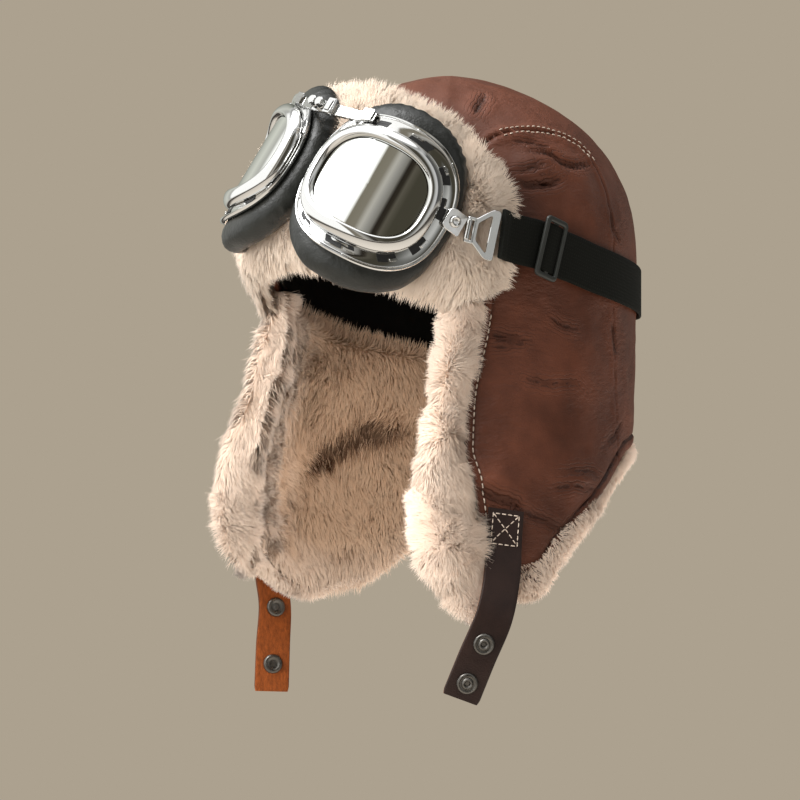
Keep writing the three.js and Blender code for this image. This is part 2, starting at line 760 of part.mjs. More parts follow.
function eyeGlass(side, steps) {
  const shares = [0.5, 1];
  const vertices = [eyePoint(side, 0, 0, GLASS_THICK / 2), eyePoint(side, 0, 0, -GLASS_THICK / 2)];
  for (const w of [GLASS_THICK / 2, -GLASS_THICK / 2]) {
    for (const share of shares) {
      for (let k = 0; k < steps; k += 1) {
        const turn = 2 * Math.PI * (k + 0.5) / steps;
        const [u, v] = oval(GLASS_HALF_WIDTH - 1.2, GLASS_HALF_HEIGHT - 1.2, turn);
        vertices.push(eyePoint(side, u * share, v * share, w));
      }
    }
  }
  const triangles = [];
  const id = (layer, r, k) => 2 + (layer * 2 + r) * steps + k % steps;
  for (let k = 0; k < steps; k += 1) {
    triangles.push([0, id(0, 0, k), id(0, 0, k + 1)], [1, id(1, 0, k + 1), id(1, 0, k)]);
    triangles.push([id(0, 0, k), id(0, 1, k), id(0, 1, k + 1)], [id(0, 0, k), id(0, 1, k + 1), id(0, 0, k + 1)]);
    triangles.push([id(1, 0, k), id(1, 1, k + 1), id(1, 1, k)], [id(1, 0, k), id(1, 0, k + 1), id(1, 1, k + 1)]);
    triangles.push([id(0, 1, k), id(1, 1, k), id(1, 1, k + 1)], [id(0, 1, k), id(1, 1, k + 1), id(0, 1, k + 1)]);
  }
  return geometryOf(vertices, triangles);
}

// A block in an eye's bent axes, cut in steps along u so that it bends with the frame.
function eyeBlock(side, u0, u1, v0, v1, w0, w1, steps) {
  const rings = [];
  for (let k = 0; k <= steps; k += 1) {
    const u = u0 + (u1 - u0) * k / steps;
    rings.push([eyePoint(side, u, v0, w0), eyePoint(side, u, v1, w0), eyePoint(side, u, v1, w1), eyePoint(side, u, v0, w1)]);
  }
  return solidOf(loft(rings));
}

function eyeFrame(side) {
  let frame = eyeRing(side, FRAME_SECTION, 24, 0);
  for (const angle of VENTS) {
    const point = (spread, share) => {
      const turn = (angle + spread) * rad;
      const [u0, v0] = oval(38.6, 32.8, turn);
      const [u1, v1] = oval(41, 37, turn);
      return [u0 + (u1 + 3 - u0) * share, v0 + (v1 - v0) * share];
    };
    const corners = [point(-5.5, 0.15), point(5.5, 0.15), point(5.5, 0.8), point(-5.5, 0.8)];
    const slot = loft([-5, 1].map((w) => corners.map(([u, v]) => eyePoint(side, u, v, w))));
    frame = frame.subtract(solidOf(slot));
  }
  return frame;
}

const crownFilled = (out) => {
  const rings = [];
  for (let i = 1; i <= 12; i += 1) {
    const points = [];
    for (let j = 0; j < 40; j += 1) {
      const q = 1.34 * i / 12;
      points.push(skin(j * 9 - 180, q).addScaledVector(outward(j * 9 - 180, q), out));
    }
    rings.push(points);
  }
  return solidOf(loft(rings));
};

const padPlug = (side, grow) => eyePlug(side, [
  { a: 45 + grow, b: 41 + grow, shift: 3.5, w: 26 },
  { a: 44 + grow, b: 40 + grow, shift: 3.5, w: -3.8 + grow },
  { a: 50.5 + grow, b: 47.5 + grow, shift: 3, w: -6.5 + grow },
  { a: 54 + grow, b: 51 + grow, shift: 3, w: -12 },
  { a: 51.5 + grow, b: 48.5 + grow, shift: 3, w: -PAD_DEPTH - grow },
], 24);
const gogglePad = eyeRing(1, PAD_SECTION, 24, 0)
  .add(eyeRing(-1, PAD_SECTION, 24, 0))
  .subtract(crownFilled(5.2));
// Nose bridge over the top of the frames.
function bridgeBracket(side) {
  const bent = (u, low, high) => [
    eyePoint(side, u, low, 0.1), eyePoint(side, u, high, 0.1), eyePoint(side, u, high, 1.7), eyePoint(side, u, low, 1.7),
  ];
  const inner = [[0.6, 27.2], [0.6, 33.6], [-1, 33.6], [-1, 27.2]]
    .map(([y, z]) => new THREE.Vector3(side * 10.4, y, z).applyMatrix4(goggleTurn));
  return solidOf(loft([bent(-16, 31.4, 36.4), bent(-25, 28.8, 34.8), inner]));
}

function bridgeHinge() {
  const box = (x0, x1, y0, y1, z0, z1) => {
    const body = new THREE.BoxGeometry(x1 - x0, y1 - y0, z1 - z0);
    return solidOf(body.translate((x0 + x1) / 2, (y0 + y1) / 2, (z0 + z1) / 2).applyMatrix4(goggleTurn));
  };
  const knuckle = (x) => {
    const body = new THREE.CylinderGeometry(2.7, 2.7, 9.5, 8).rotateX(Math.PI / 2);
    return solidOf(body.translate(x, -2.4, 30.6).applyMatrix4(goggleTurn));
  };
  return box(-10, 10, -1, 0.6, 27.2, 33.8)
    .add(box(3.2, 9, -4.6, 0.2, 25.8, 35.2))
    .add(knuckle(-6.2))
    .add(knuckle(-0.6));
}

// Side fittings: a tab on the frame, and a loop that runs back from it along the head.
const runBack = { 1: new THREE.Vector3(0.375, 0.927, -0.22), '-1': new THREE.Vector3(-0.72, 0.69, -0.05) };
const turnOnly = new THREE.Matrix4().extractRotation(goggleTurn);

function sideFrame(side) {
  const along = runBack[side].clone().normalize();
  const up = new THREE.Vector3(0, 0, 1).applyMatrix4(turnOnly);
  const out = new THREE.Vector3().crossVectors(along, up).multiplyScalar(side).normalize();
  const rise = new THREE.Vector3().crossVectors(out, along).multiplyScalar(side).normalize();
  const origin = eyePoint(side, 54.2, TAB_HEIGHT, 0.6);
  return { along, out, rise, origin };
}

function placeInSide(side, geometry, s, r, o) {
  const { along, out, rise, origin } = sideFrame(side);
  const place = new THREE.Matrix4().makeBasis(along, rise, out);
  const spot = origin.clone().addScaledVector(along, s).addScaledVector(rise, r).addScaledVector(out, o);
  place.setPosition(spot);
  const moved = geometry.clone().applyMatrix4(place);
  const bare = mergeVertices(moved.deleteAttribute('normal').deleteAttribute('uv'), 1e-4);
  const array = bare.attributes.position.array;
  const vertices = [];
  for (let k = 0; k < array.length; k += 3) vertices.push(new THREE.Vector3(array[k], array[k + 1], array[k + 2]));
  const triangles = [];
  for (let k = 0; k < bare.index.count; k += 3) triangles.push([0, 1, 2].map((n) => bare.index.array[k + n]));
  return geometryOf(vertices, triangles);
}

function loopSolid(side) {
  const plate = (outline, depth) => {
    const shape = new THREE.Shape(outline.map(([x, y]) => new THREE.Vector2(x, y)));
    const body = new THREE.ExtrudeGeometry(shape, { depth, bevelEnabled: false });
    return solidOf(placeInSide(side, body.translate(0, 0, -depth / 2), 1.7, 0, 0));
  };
  const frame = [[0, -6.6], [4.6, -6.6], [12.4, -13], [17.4, -13], [17.4, 13], [12.4, 13], [4.6, 6.6], [0, 6.6]];
  const slot = [[1.2, -5.2], [3.2, -5.2], [3.2, 5.2], [1.2, 5.2]];
  const window = [[6, -4.6], [12.6, -10], [12.6, 10], [6, 4.6]];
  return plate(frame, 1.6).subtract(plate(slot, 5)).subtract(plate(window, 5));
}

// Room for the fittings in the fur: a block along each of them, open to the outside.
function sideRoom(side) {
  return solidOf(placeInSide(side, new THREE.BoxGeometry(38, 31, 34), 5, 0, 14.6));
}

const bandTable = (side) => (side > 0 ? BAND_LEFT : BAND_RIGHT);
function bandPoint(angle) {
  const side = angle > 180 ? -1 : 1;
  const away = angle > 180 ? 360 - angle : angle;
  const table = bandTable(side);
  const z = look(table, 'phi', 'z', away);
  const phi = side * away;
  return { z, phi, point: at(phi, z, look(table, 'phi', 'out', away)), out: outward(phi, wayDown(phi, z)) };
}

function bandGeometry(start, end, steps, half, low, high) {
  const rings = [];
  for (let k = 0; k <= steps; k += 1) {
    const angle = start + (end - start) * k / steps;
    const { point, out } = bandPoint(angle);
    const tangent = bandPoint(angle + 0.5).point.sub(bandPoint(angle - 0.5).point).normalize();
    const up = new THREE.Vector3().crossVectors(tangent, out).normalize();
    const face = new THREE.Vector3().crossVectors(up, tangent).normalize();
    rings.push([[half, high], [-half, high], [-half, low], [half, low]].map(([a, f]) => point.clone()
      .addScaledVector(up, a).addScaledVector(face, f)));
  }
  return loft(rings);
}

const bandRoom = (start, end) => solidOf(bandGeometry(start, end, 5, BAND_WIDTH / 2 + 0.6, -0.4, 20));
const seat = padPlug(1, FIT_GAP).add(padPlug(-1, FIT_GAP))
  .subtract(crownFilled(4.4))
  .add(sideRoom(1))
  .add(sideRoom(-1))
  .subtract(crownFilled(2.4))
  .add(bandRoom(62, 82))
  .add(bandRoom(278, 308));
let furBrim = brimSolid();
for (const piece of brimLocks()) {
  furBrim = furBrim.add(piece);
}
furBrim = furBrim.subtract(seat);

// A rivet stands through the tab: a shank with a domed head.
function eyeTurned(side, u, v, w, profile, steps) {
  const origin = eyePoint(side, u, v, w);
  const axes = [[1, 0, 0], [0, 1, 0], [0, 0, 1]].map(([a, b, c]) => eyePoint(side, u + 0.1 * a, v + 0.1 * b, w + 0.1 * c)
    .sub(origin).normalize());
  const vertices = [];
  const triangles = [];
  profile.forEach(([r, h]) => {
    for (let k = 0; k < steps; k += 1) {
      const turn = 2 * Math.PI * k / steps;
      vertices.push(origin.clone().addScaledVector(axes[0], r * Math.cos(turn))
        .addScaledVector(axes[1], r * Math.sin(turn)).addScaledVector(axes[2], h));
    }
  });
  for (let i = 0; i + 1 < profile.length; i += 1) {
    for (let k = 0; k < steps; k += 1) {
      const n = (k + 1) % steps;
      triangles.push([i * steps + k, i * steps + n, (i + 1) * steps + n]);
      triangles.push([i * steps + k, (i + 1) * steps + n, (i + 1) * steps + k]);
    }
  }
  const end = (profile.length - 1) * steps;
  for (let k = 1; k + 1 < steps; k += 1) {
    triangles.push([0, k + 1, k], [end, end + k, end + k + 1]);
  }
  return solidOf(geometryOf(vertices, triangles));
}

function sideTab(side) {
  const hole = eyeTurned(side, 48, TAB_HEIGHT, 0.6, [[1.7, -2], [1.7, 2]], 8);
  return eyeBlock(side, 42, 53.8, TAB_HEIGHT - 6, TAB_HEIGHT + 6, 0, 1.2, 3).subtract(hole);
}

function sideRivet(side) {
  return eyeTurned(side, 48, TAB_HEIGHT, 0, [[1.3, 0], [1.3, 1.7], [3.1, 1.7], [2.2, 2.6]], 8);
}

// A chin strap as a flat ribbon down a curve, with holes for its press studs.
function chinCurve(table) {
  return new THREE.CatmullRomCurve3(table.map((row) => new THREE.Vector3(row.x, row.y, row.z)));
}

function chinFrame(table, t) {
  const curve = chinCurve(table);
  const point = curve.getPoint(t);
  const tangent = curve.getTangent(t);
  const place = t * (table.length - 1);
  const k = Math.min(table.length - 2, Math.floor(place));
  const facing = (table[k].facing + (table[k + 1].facing - table[k].facing) * (place - k)) * rad;
  const toward = new THREE.Vector3(Math.sin(facing), -Math.cos(facing), 0);
  const across = new THREE.Vector3().crossVectors(tangent, toward).normalize();
  const face = new THREE.Vector3().crossVectors(across, tangent).normalize();
  return { point, tangent, across, face };
}

function chinRibbon(table) {
  const rings = [];
  for (let k = 0; k <= 10; k += 1) {
    const { point, across, face } = chinFrame(table, k / 10);
    const half = CHIN_WIDTH / 2;
    rings.push([[half, 1], [-half, 1], [-half, -1], [half, -1]].map(([a, f]) => point.clone()
      .addScaledVector(across, a).addScaledVector(face, f * CHIN_THICK / 2)));
  }
  return loft(rings);
}

function studPlace(table, t) {
  const { point, across, face } = chinFrame(table, t);
  const place = new THREE.Matrix4().makeBasis(across, face, new THREE.Vector3().crossVectors(across, face));
  return place.setPosition(point);
}

function chinStrap(table, studs) {
  let strap = solidOf(chinRibbon(table));
  for (const t of studs) {
    const hole = new THREE.CylinderGeometry(STUD_SHANK + 0.4, STUD_SHANK + 0.4, 12, 10);
    strap = strap.subtract(solidOf(hole.applyMatrix4(studPlace(table, t))));
  }
  return strap;
}

function stud(table, t) {
  const half = CHIN_THICK / 2 + 0.7;
  const profile = [
    [0, -half - 1.5], [4.4, -half - 1.3], [STUD_RADIUS, -half], [STUD_SHANK, -half],
    [STUD_SHANK, half], [STUD_RADIUS, half], [4.9, half + 1.5], [2.9, half + 1.5], [0, half + 0.4],
  ].map(([r, h]) => new THREE.Vector2(r, h));
  const body = new THREE.LatheGeometry(profile, 8);
  return geometryFrom(solidOf(body.applyMatrix4(studPlace(table, t))));
}

function sliderGeometry() {
  const { point, out } = bandPoint(78);
  const tangent = bandPoint(79).point.sub(bandPoint(77).point).normalize();
  const up = new THREE.Vector3().crossVectors(tangent, out).normalize();
  const face = new THREE.Vector3().crossVectors(up, tangent).normalize();
  const place = new THREE.Matrix4().makeBasis(tangent, up.negate(), face.clone());
  place.setPosition(point.clone().addScaledVector(face, BAND_THICK + 2));
  let plate = solidOf(new THREE.BoxGeometry(16.5, 33, 2.2).applyMatrix4(place));
  for (const side of [-1, 1]) {
    const slot = new THREE.BoxGeometry(4.4, 27, 6).translate(side * 3.6, 0, 0);
    plate = plate.subtract(solidOf(slot.applyMatrix4(place)));
  }
  return geometryFrom(plate);
}

const materials = {
  leather: new THREE.MeshStandardMaterial({ color: 0x503023, roughness: 0.6, metalness: 0 }),
  pile: new THREE.MeshStandardMaterial({ color: 0xecd3bd, roughness: 0.95, metalness: 0 }),
  lining: new THREE.MeshStandardMaterial({ color: 0x0c0b0b, roughness: 0.7, metalness: 0 }),
  strap: new THREE.MeshStandardMaterial({ color: 0x332722, roughness: 0.6, metalness: 0 }),
  band: new THREE.MeshStandardMaterial({ color: 0x12150e, roughness: 0.8, metalness: 0 }),
  plastic: new THREE.MeshStandardMaterial({ color: 0x20211c, roughness: 0.4, metalness: 0 }),
  cushion: new THREE.MeshStandardMaterial({ color: 0x2c2d28, roughness: 0.45, metalness: 0 }),
  chrome: new THREE.MeshStandardMaterial({ color: 0xd8d8d8, roughness: 0.1, metalness: 1 }),
  mirror: new THREE.MeshStandardMaterial({ color: 0xb8b8b4, roughness: 0.04, metalness: 1 }),
  stud: new THREE.MeshStandardMaterial({ color: 0x6e6660, roughness: 0.3, metalness: 1 }),
};

const group = new THREE.Group();

function addMesh(name, geometry, material) {
  const shown = geometry.index ? geometry.toNonIndexed() : geometry;
  shown.computeVertexNormals();
  const mesh = new THREE.Mesh(shown, material);
  mesh.name = name;
  group.add(mesh);
}

addMesh('crown_center', geometryFrom(crownCenter), materials.leather);
addMesh('crown_side_left', geometryFrom(crownSideLeft), materials.leather);
addMesh('crown_side_right', geometryFrom(crownSideRight), materials.leather);
addMesh('crown_lining', liningGeometry(), materials.lining);
addMesh('fur_lining', geometryFrom(furLining), materials.pile);
addMesh('fur_brim', geometryFrom(furBrim), materials.pile);
addMesh('goggle_pad', geometryFrom(gogglePad), materials.cushion);
addMesh('goggle_strap', bandGeometry(61, 306.5, 28, BAND_WIDTH / 2, 0, BAND_THICK), materials.band);
addMesh('bridge_hinge', geometryFrom(bridgeHinge()), materials.chrome);
addMesh('strap_slider', sliderGeometry(), materials.plastic);

for (const [side, word] of [[1, 'left'], [-1, 'right']]) {
  addMesh(`goggle_frame_${word}`, geometryFrom(eyeFrame(side)), materials.chrome);
  addMesh(`goggle_bezel_${word}`, geometryFrom(eyeRing(side, BEZEL_SECTION, 24, 0)), materials.chrome);
  addMesh(`goggle_lens_${word}`, eyeGlass(side, 24), materials.mirror);
  addMesh(`bridge_bracket_${word}`, geometryFrom(bridgeBracket(side)), materials.chrome);
  addMesh(`side_tab_${word}`, geometryFrom(sideTab(side)), materials.chrome);
  addMesh(`side_rivet_${word}`, geometryFrom(sideRivet(side)), materials.chrome);
  addMesh(`strap_loop_${word}`, geometryFrom(loopSolid(side)), materials.chrome);
  const table = side > 0 ? CHIN_LEFT : CHIN_RIGHT;
  const studs = side > 0 ? STUDS_LEFT : STUDS_RIGHT;
  addMesh(`chin_strap_${word}`, geometryFrom(chinStrap(table, studs)), materials.strap);
  addMesh(`snap_${word}_upper`, stud(table, studs[0]), materials.stud);
  addMesh(`snap_${word}_lower`, stud(table, studs[1]), materials.stud);
}

export default group;
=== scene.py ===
"""Looks of a leather flying hat with fur-lined ear flaps and chromed goggles on its brim.

Every shape is worked out in millimetres as arrays and put into a mesh in metres.
+Z is up, the forehead faces -Y, the wearer's left is +X, the origin is the inside of the crown.
"""

import copy
import functools

import bpy
import numpy as np
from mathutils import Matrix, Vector


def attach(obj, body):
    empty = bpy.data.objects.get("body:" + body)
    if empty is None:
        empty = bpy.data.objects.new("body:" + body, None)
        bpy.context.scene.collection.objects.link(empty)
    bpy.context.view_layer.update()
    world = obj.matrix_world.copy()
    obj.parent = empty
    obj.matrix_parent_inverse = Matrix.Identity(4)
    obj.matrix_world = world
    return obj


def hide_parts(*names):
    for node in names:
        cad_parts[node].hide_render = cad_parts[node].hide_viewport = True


bl_info = {
    "name": "Aviator hat",
    "version": (1, 0, 0),
    "blender": (4, 5, 0),
    "location": "3D View > Sidebar > Hat",
    "description": "Leather, fur and chrome of an aviator hat round its solid frame",
    "category": "Object",
}

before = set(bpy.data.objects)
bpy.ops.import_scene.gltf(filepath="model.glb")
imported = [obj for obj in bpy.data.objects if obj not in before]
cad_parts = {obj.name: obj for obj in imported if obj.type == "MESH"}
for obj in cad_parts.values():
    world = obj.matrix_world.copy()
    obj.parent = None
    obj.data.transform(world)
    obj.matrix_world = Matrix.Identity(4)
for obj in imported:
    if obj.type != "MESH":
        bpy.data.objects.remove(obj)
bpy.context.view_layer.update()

MM = 0.001
HALF_WIDTH, FRONT_REACH, BACK_REACH = 92.0, 108.0, 113.0
CROWN_TOP, CROWN_RISE = 8.0, 103.0
EQUATOR = CROWN_TOP - CROWN_RISE
SKIRT_SCALE = 110.0
# How far the leather is from the axis on average, for lengths round the hat.
MEAN_REACH = 98.0
# Millimetres for each degree: at the hem, at the front edge of a flap and on the pile inside.
HEM_DEGREE, FRONT_DEGREE, PILE_DEGREE = 1.68, 1.72, 1.7
SIDES = ((1, "left"), (-1, "right"))
LEATHER = 2.0
LINING_FACE, LINING_BACK = 3.4, 4.8
FLAP_START, TEMPLE = -121.0, 60.0
SPLAY_OUT, SPLAY_FORWARD, NAPE_TUCK = 14.0, 18.0, 0.05
FACE_TOP, FACE_DROP, FACE_TILT = -97.0, 24.0, 9.0
PILE_INSET, PILE_THICK, PILE_OVERHANG, PILE_FORWARD = 3.1, 9.0, 9.0, 3.5
# Where the strands of the inner pile are rooted, as a share of the pile's thickness.
PILE_ROOT = 0.62
# How far the backing of a flap's roll lies under its outer form, and how far its lower end comes up.
ROLL_SHRINK, ROLL_RISE = 4.2, 1.5
BRIM_GAP, BRIM_THICK, BRIM_END = 2.0, 14.5, 0.985
BRIM_GRID = (190, 70)
CHIN_WIDTH, CHIN_THICK = 20.0, 2.0
BAND_WIDTH, BAND_THICK, BAND_STARTS, BAND_STOPS = 26.0, 1.6, 61.0, 306.5
GOGGLE_SEAT = np.array([7.8, -134.0, -45.3])
GOGGLE_YAW, GOGGLE_LEAN, GOGGLE_ROLL = 6.0, 28.0, 15.0
EYE_OFFSET, EYE_BACK, EYE_TURN, LENS_BEND = 46.0, 13.0, 32.0, 65.0
PAD_DEPTH = 19.0
TAB_HEIGHT = 7.0
# Small steps round and down that the slope of the distance to the seam is measured over.
SEAM_STEPS = (0.2, 0.002)
# How far the sewn groove is from the hem and from a flap's front edge.
HEM_GROOVE = 5.6
VENTS = (12, 42, 77, 108, 150, 202, 236, 271, 307, 340)

# Front edge of a flap: height and angle.
FLAP_FRONT = (
    (-270, 67), (-256, 64), (-235, 60), (-212, 57.5), (-195, 55), (-176, 55), (-136, 58.5), (-121, 60),
)
# Hem of a flap: angle and height.
HEM_LEFT = (
    (60, -256), (65, -263), (71, -267), (76, -264), (85, -249), (99, -230), (109, -214), (121, -199),
    (150, -194), (180, -192),
)
HEM_RIGHT = (
    (60, -248), (67, -257), (76, -266), (88, -272), (100, -270), (110, -259), (121, -240), (136, -214),
    (152, -198), (180, -192),
)
# Lower edge of the lining: angle and height.
LINING_EDGE = ((60, -119), (90, -131), (112, -139), (130, -146), (180, -150))
# Pile roll of a flap, bottom to top: height, front angle, rear angle, how high it stands.
ROLL_LEFT = (
    (-279, 53, 67, 6), (-271, 48, 66, 8), (-262, 43.5, 62.8, 9), (-250, 40, 61.8, 10), (-233, 38.3, 59, 10.5),
    (-212, 39.3, 56.5, 11), (-195, 41, 54.2, 10), (-176, 42.5, 54.2, 9), (-154, 43.5, 55.8, 10),
    (-136, 44.5, 57.6, 9), (-122.6, 46, 59, 7),
)
ROLL_RIGHT = (
    (-264, 56, 65, 7), (-255, 50, 62.2, 9), (-243, 44, 60.5, 10), (-230, 40.5, 58.6, 10.5),
    (-212, 39.3, 56.5, 11), (-195, 40.5, 54.2, 11), (-176, 42, 54.2, 9), (-154, 43, 55.8, 10),
    (-136, 44.5, 57.6, 9), (-122.6, 46, 59, 7),
)
# Brim from the middle of the forehead to a temple: place, low angle and height, high angle and height.
BRIM_EDGES = (
    (0, 0, -101, 0, -2), (0.2, 10, -102, 18, -3), (0.4, 20, -105, 38, -8), (0.55, 30, -109, 51, -15),
    (0.7, 39, -114, 60.5, -27), (0.8, 44, -117, 67, -38), (0.9, 47.5, -119.5, 71, -62),
    (0.96, 49.5, -120.4, 68.5, -93), (1, 51, -120.4, 62.5, -119),
)
# Soft buckles of the leather: angle, height, half length, half width, turn, how high.
BUCKLES = (
    (79, -47, 17, 7, 0, 3.2), (97, -62, 16, 9, 35, 2), (74, -30, 13, 6, 0, 1.4), (46, -12, 12, 9, 60, 1.8),
    (90, -150, 26, 20, 80, 2.2), (66, -214, 15, 8, -20, 2.6), (96, -214, 22, 9, 25, 2.2),
    (84, -238, 18, 8, 35, 1.8), (-79, -47, 17, 7, 0, 2.6), (-94, -60, 18, 9, -30, 2.2),
    (-88, -150, 26, 20, 80, 2), (-70, -214, 15, 8, 20, 2.2), (-100, -222, 24, 10, -15, 2.4),
    (178, -178, 30, 8, 0, 1.8),
)
# Creases: points (angle, height), depth and half width.
CREASES = (
    (((71, -38), (80, -40), (88, -40), (92, -45), (98, -46), (107, -43), (117, -43)), 1.9, 2.2),
    (((72, -34), (83, -35), (93, -37)), 0.9, 1.6),
    (((69, -58), (77, -58), (85, -56), (91, -52)), 1.8, 2.0),
    (((70, -51), (77, -50), (85, -46)), 0.9, 1.8),
    (((74, -4), (65, -13), (60, -20)), 1.2, 2.2),
    (((110, -66), (110, -78), (117, -90)), 0.9, 1.8),
    (((60, -136), (68, -139), (75, -140)), 1.2, 2.0),
    (((61, -144), (68, -143), (72, -142)), 0.7, 1.6),
    (((66, -156), (75, -161), (82, -163), (91, -162), (101, -173)), 0.6, 2.0),
    (((82, -210), (91, -209), (98, -209), (106, -215)), 0.8, 2.2),
    (((81, -218), (91, -216), (103, -220)), 0.7, 2.0),
    (((71, -228), (81, -234), (90, -242)), 0.8, 2.0),
    (((57, -214), (64, -221), (71, -225), (76, -230)), 1.4, 2.4),
    (((108, -126), (112, -150)), 0.6, 2.4),
    (((117, -180), (111, -191), (102, -198)), 0.7, 2.2),
    (((81, -127), (86, -132), (92, -134)), 0.7, 1.6),
    (((-69, -41), (-84, -38), (-92, -41), (-101, -46), (-112, -44)), 1.6, 2.2),
    (((-71, -60), (-82, -56), (-90, -59)), 1.5, 2.0),
    (((-66, -138), (-76, -141), (-88, -138)), 0.9, 2.0),
    (((-62, -208), (-72, -216), (-84, -220)), 1.2, 2.6),
    (((-84, -232), (-98, -236), (-112, -226)), 0.9, 2.4),
    (((-112, -70), (-114, -86), (-120, -96)), 0.8, 2.0),
    (((150, -160), (170, -166), (-172, -163)), 0.8, 2.6),
    (((140, -176), (158, -182), (176, -180)), 0.7, 2.2),
    (((160, -60), (174, -66), (-170, -62)), 0.7, 2.4),
    (((-150, -30), (-165, -38), (176, -36)), 0.6, 2.2),
)
# Painted shade of fine folds that the leather's paint draws beside a crease: centimetres away, and how dark.
FOLD_LINES = (
    (0.0, 1), (0.05, 0.8), (0.10, 0), (0.18, 0.1), (0.22, 0.7), (0.26, 0.05), (0.38, 0.1), (0.42, 0.6),
    (0.46, 0.05), (0.60, 0.05), (0.64, 0.5), (0.69, 0),
)
# Plan of the seam between the middle and a side panel.
SEAM_PLAN = (
    (67, -140), (67, -34), (69, -12), (70, 10), (71, 24), (73, 31), (77.5, 35.5), (86, 38), (140, 44),
)
# Goggle band over each side: angle, height, distance out.
BAND_LEFT = (
    (60, -86.5, 23), (62, -87, 18.2), (66, -88, 12.4), (70, -89, 9.4), (74, -90, 7.6), (80, -93, 5.2),
    (88, -96.5, 3), (100, -102, 1.6), (124, -109, 1.2), (150, -113, 1.2), (180, -113, 1.2),
)
BAND_RIGHT = (
    (50, -52, 7.6), (60, -56.5, 7.4), (68, -61.5, 6.8), (76, -67.5, 5), (88, -77.5, 2.6), (100, -87, 1.6),
    (124, -101, 1.2), (150, -110.5, 1.2), (180, -113, 1.2),
)
# Chin straps: a point down the middle and the way the outer face looks.
CHIN_LEFT = (
    (101.1, -59, -228, 66), (102.4, -62, -243, 65), (106.6, -67.4, -262, 64), (109.5, -76, -282, 62),
    (104, -83, -303, 60), (97, -88, -324, 58),
)
CHIN_RIGHT = (
    (-104, -47.5, -236, -74), (-105.8, -45.6, -252, -78), (-109, -40.8, -270, -90), (-107, -38, -288, -106),
    (-105, -41, -312, -118), (-104, -43, -338, -122),
)
# Press studs of the left (1) and right (-1) strap, as shares of its length.
STUDS = {1: (0.73, 0.92), -1: (0.62, 0.88)}
# Where the brim's pile is rooted, as shares of the brim's height.
BRIM_ROOTS = (0.04, 0.775)
# The sign that turns the ways out of the pile's sheet towards the head.
PILE_FACES_IN = 1
# Folds of the pile inside the flaps: points (angle, height), depth, half width and how dark their painted shadow is.
PILE_FOLDS = (
    (((-81, -214), (-89, -201), (-95, -194), (-102, -189), (-110, -188), (-122, -189)), 3.2, 7.5, 1.05),
    (((-80, -212), (-88, -200), (-96, -190), (-105, -185), (-112, -186)), 2.0, 21.0, 0.62),
    (((-62, -156), (-67, -170), (-73, -186), (-75, -200)), 2.4, 3.0, 0.65),
    (((-73, -210), (-74, -222), (-76, -236), (-86, -244), (-91, -256), (-98, -260), (-102, -256),
      (-106, -246)), 2.4, 3.0, 0.7),
    (((82, -213), (92, -200), (104, -192), (116, -190)), 3.5, 6.0, 0.6),
    (((74, -212), (77, -234), (88, -246), (98, -238)), 2.2, 3.0, 0.45),
    (((165, -160), (180, -176), (-165, -164)), 2.0, 4.0, 0.3),
)


# ---- plain mathematics


def unit(v):
    """Vectors divided by their own lengths."""
    return v / np.maximum(np.linalg.norm(v, axis=-1, keepdims=True), 1e-12)


def smooth(t):
    """3t² - 2t³ of t held between 0 and 1."""
    t = np.clip(t, 0.0, 1.0)
    return t * t * (3 - 2 * t)


def wrapped(phi):
    """Angles brought between -180 and 180 degrees."""
    return (np.asarray(phi, float) + 180.0) % 360.0 - 180.0


def full_turn(steps):
    """Angles of even steps round a circle, in radians."""
    return np.linspace(0, 2 * np.pi, steps, endpoint=False)


def curve(rows, x, column=1):
    """A cubic through the rows whose slope at each row is the harmonic mean of its neighbours' slopes."""
    table = np.asarray(rows, float)
    xs, ys = table[:, 0], table[:, column]
    width = np.diff(xs)
    slope = np.diff(ys) / width
    before, after = slope[:-1], slope[1:]
    steep = np.empty(len(xs))
    steep[0], steep[-1] = slope[0], slope[-1]
    total = np.where(before * after > 0, before + after, 1.0)
    steep[1:-1] = np.where(before * after > 0, 2 * before * after / total, 0.0)
    x = np.clip(x, xs[0], xs[-1])
    k = np.clip(np.searchsorted(xs, x, side="right") - 1, 0, len(width) - 1)
    t = (x - xs[k]) / width[k]
    blend = t * t * (3 - 2 * t) * (ys[k + 1] - ys[k])
    return ys[k] + blend + ((t**3 - 2 * t * t + t) * steep[k] + (t**3 - t * t) * steep[k + 1]) * width[k]


def lattice(ix, iy, iz, seed):
    """A random number between -1 and 1 for each whole-number point, the same on each run."""
    n = (ix * 73856093) ^ (iy * 19349663) ^ (iz * 83492791) ^ (seed * 6542989)
    n = ((n ^ (n >> 13)) * 1274126177) & 0x7FFFFFFF
    n = ((n ^ (n >> 15)) * 83492791) & 0x7FFFFFFF
    return n / float(0x3FFFFFFF) - 1.0


def noise(p, size, seed=0):
    """Numbers on a cubic lattice of the given size, blended with 3t² - 2t³ along each axis."""
    g = np.asarray(p, float) / size
    i = np.floor(g).astype(np.int64)
    f = smooth(g - i)
    total = 0.0
    for dx in (0, 1):
        for dy in (0, 1):
            for dz in (0, 1):
                weight = np.ones(g.shape[:-1])
                for axis, d in enumerate((dx, dy, dz)):
                    weight = weight * (f[..., axis] if d else 1 - f[..., axis])
                total = total + weight * lattice(i[..., 0] + dx, i[..., 1] + dy, i[..., 2] + dz, seed)
    return total


def layered(p, size, seed=0, layers=3):
    """Noise at a size and at each half of it, each at half the height of the one before."""
    return sum(noise(p, size / 2**k, seed + k) / 2**k for k in range(layers))


# ---- the form of the hat


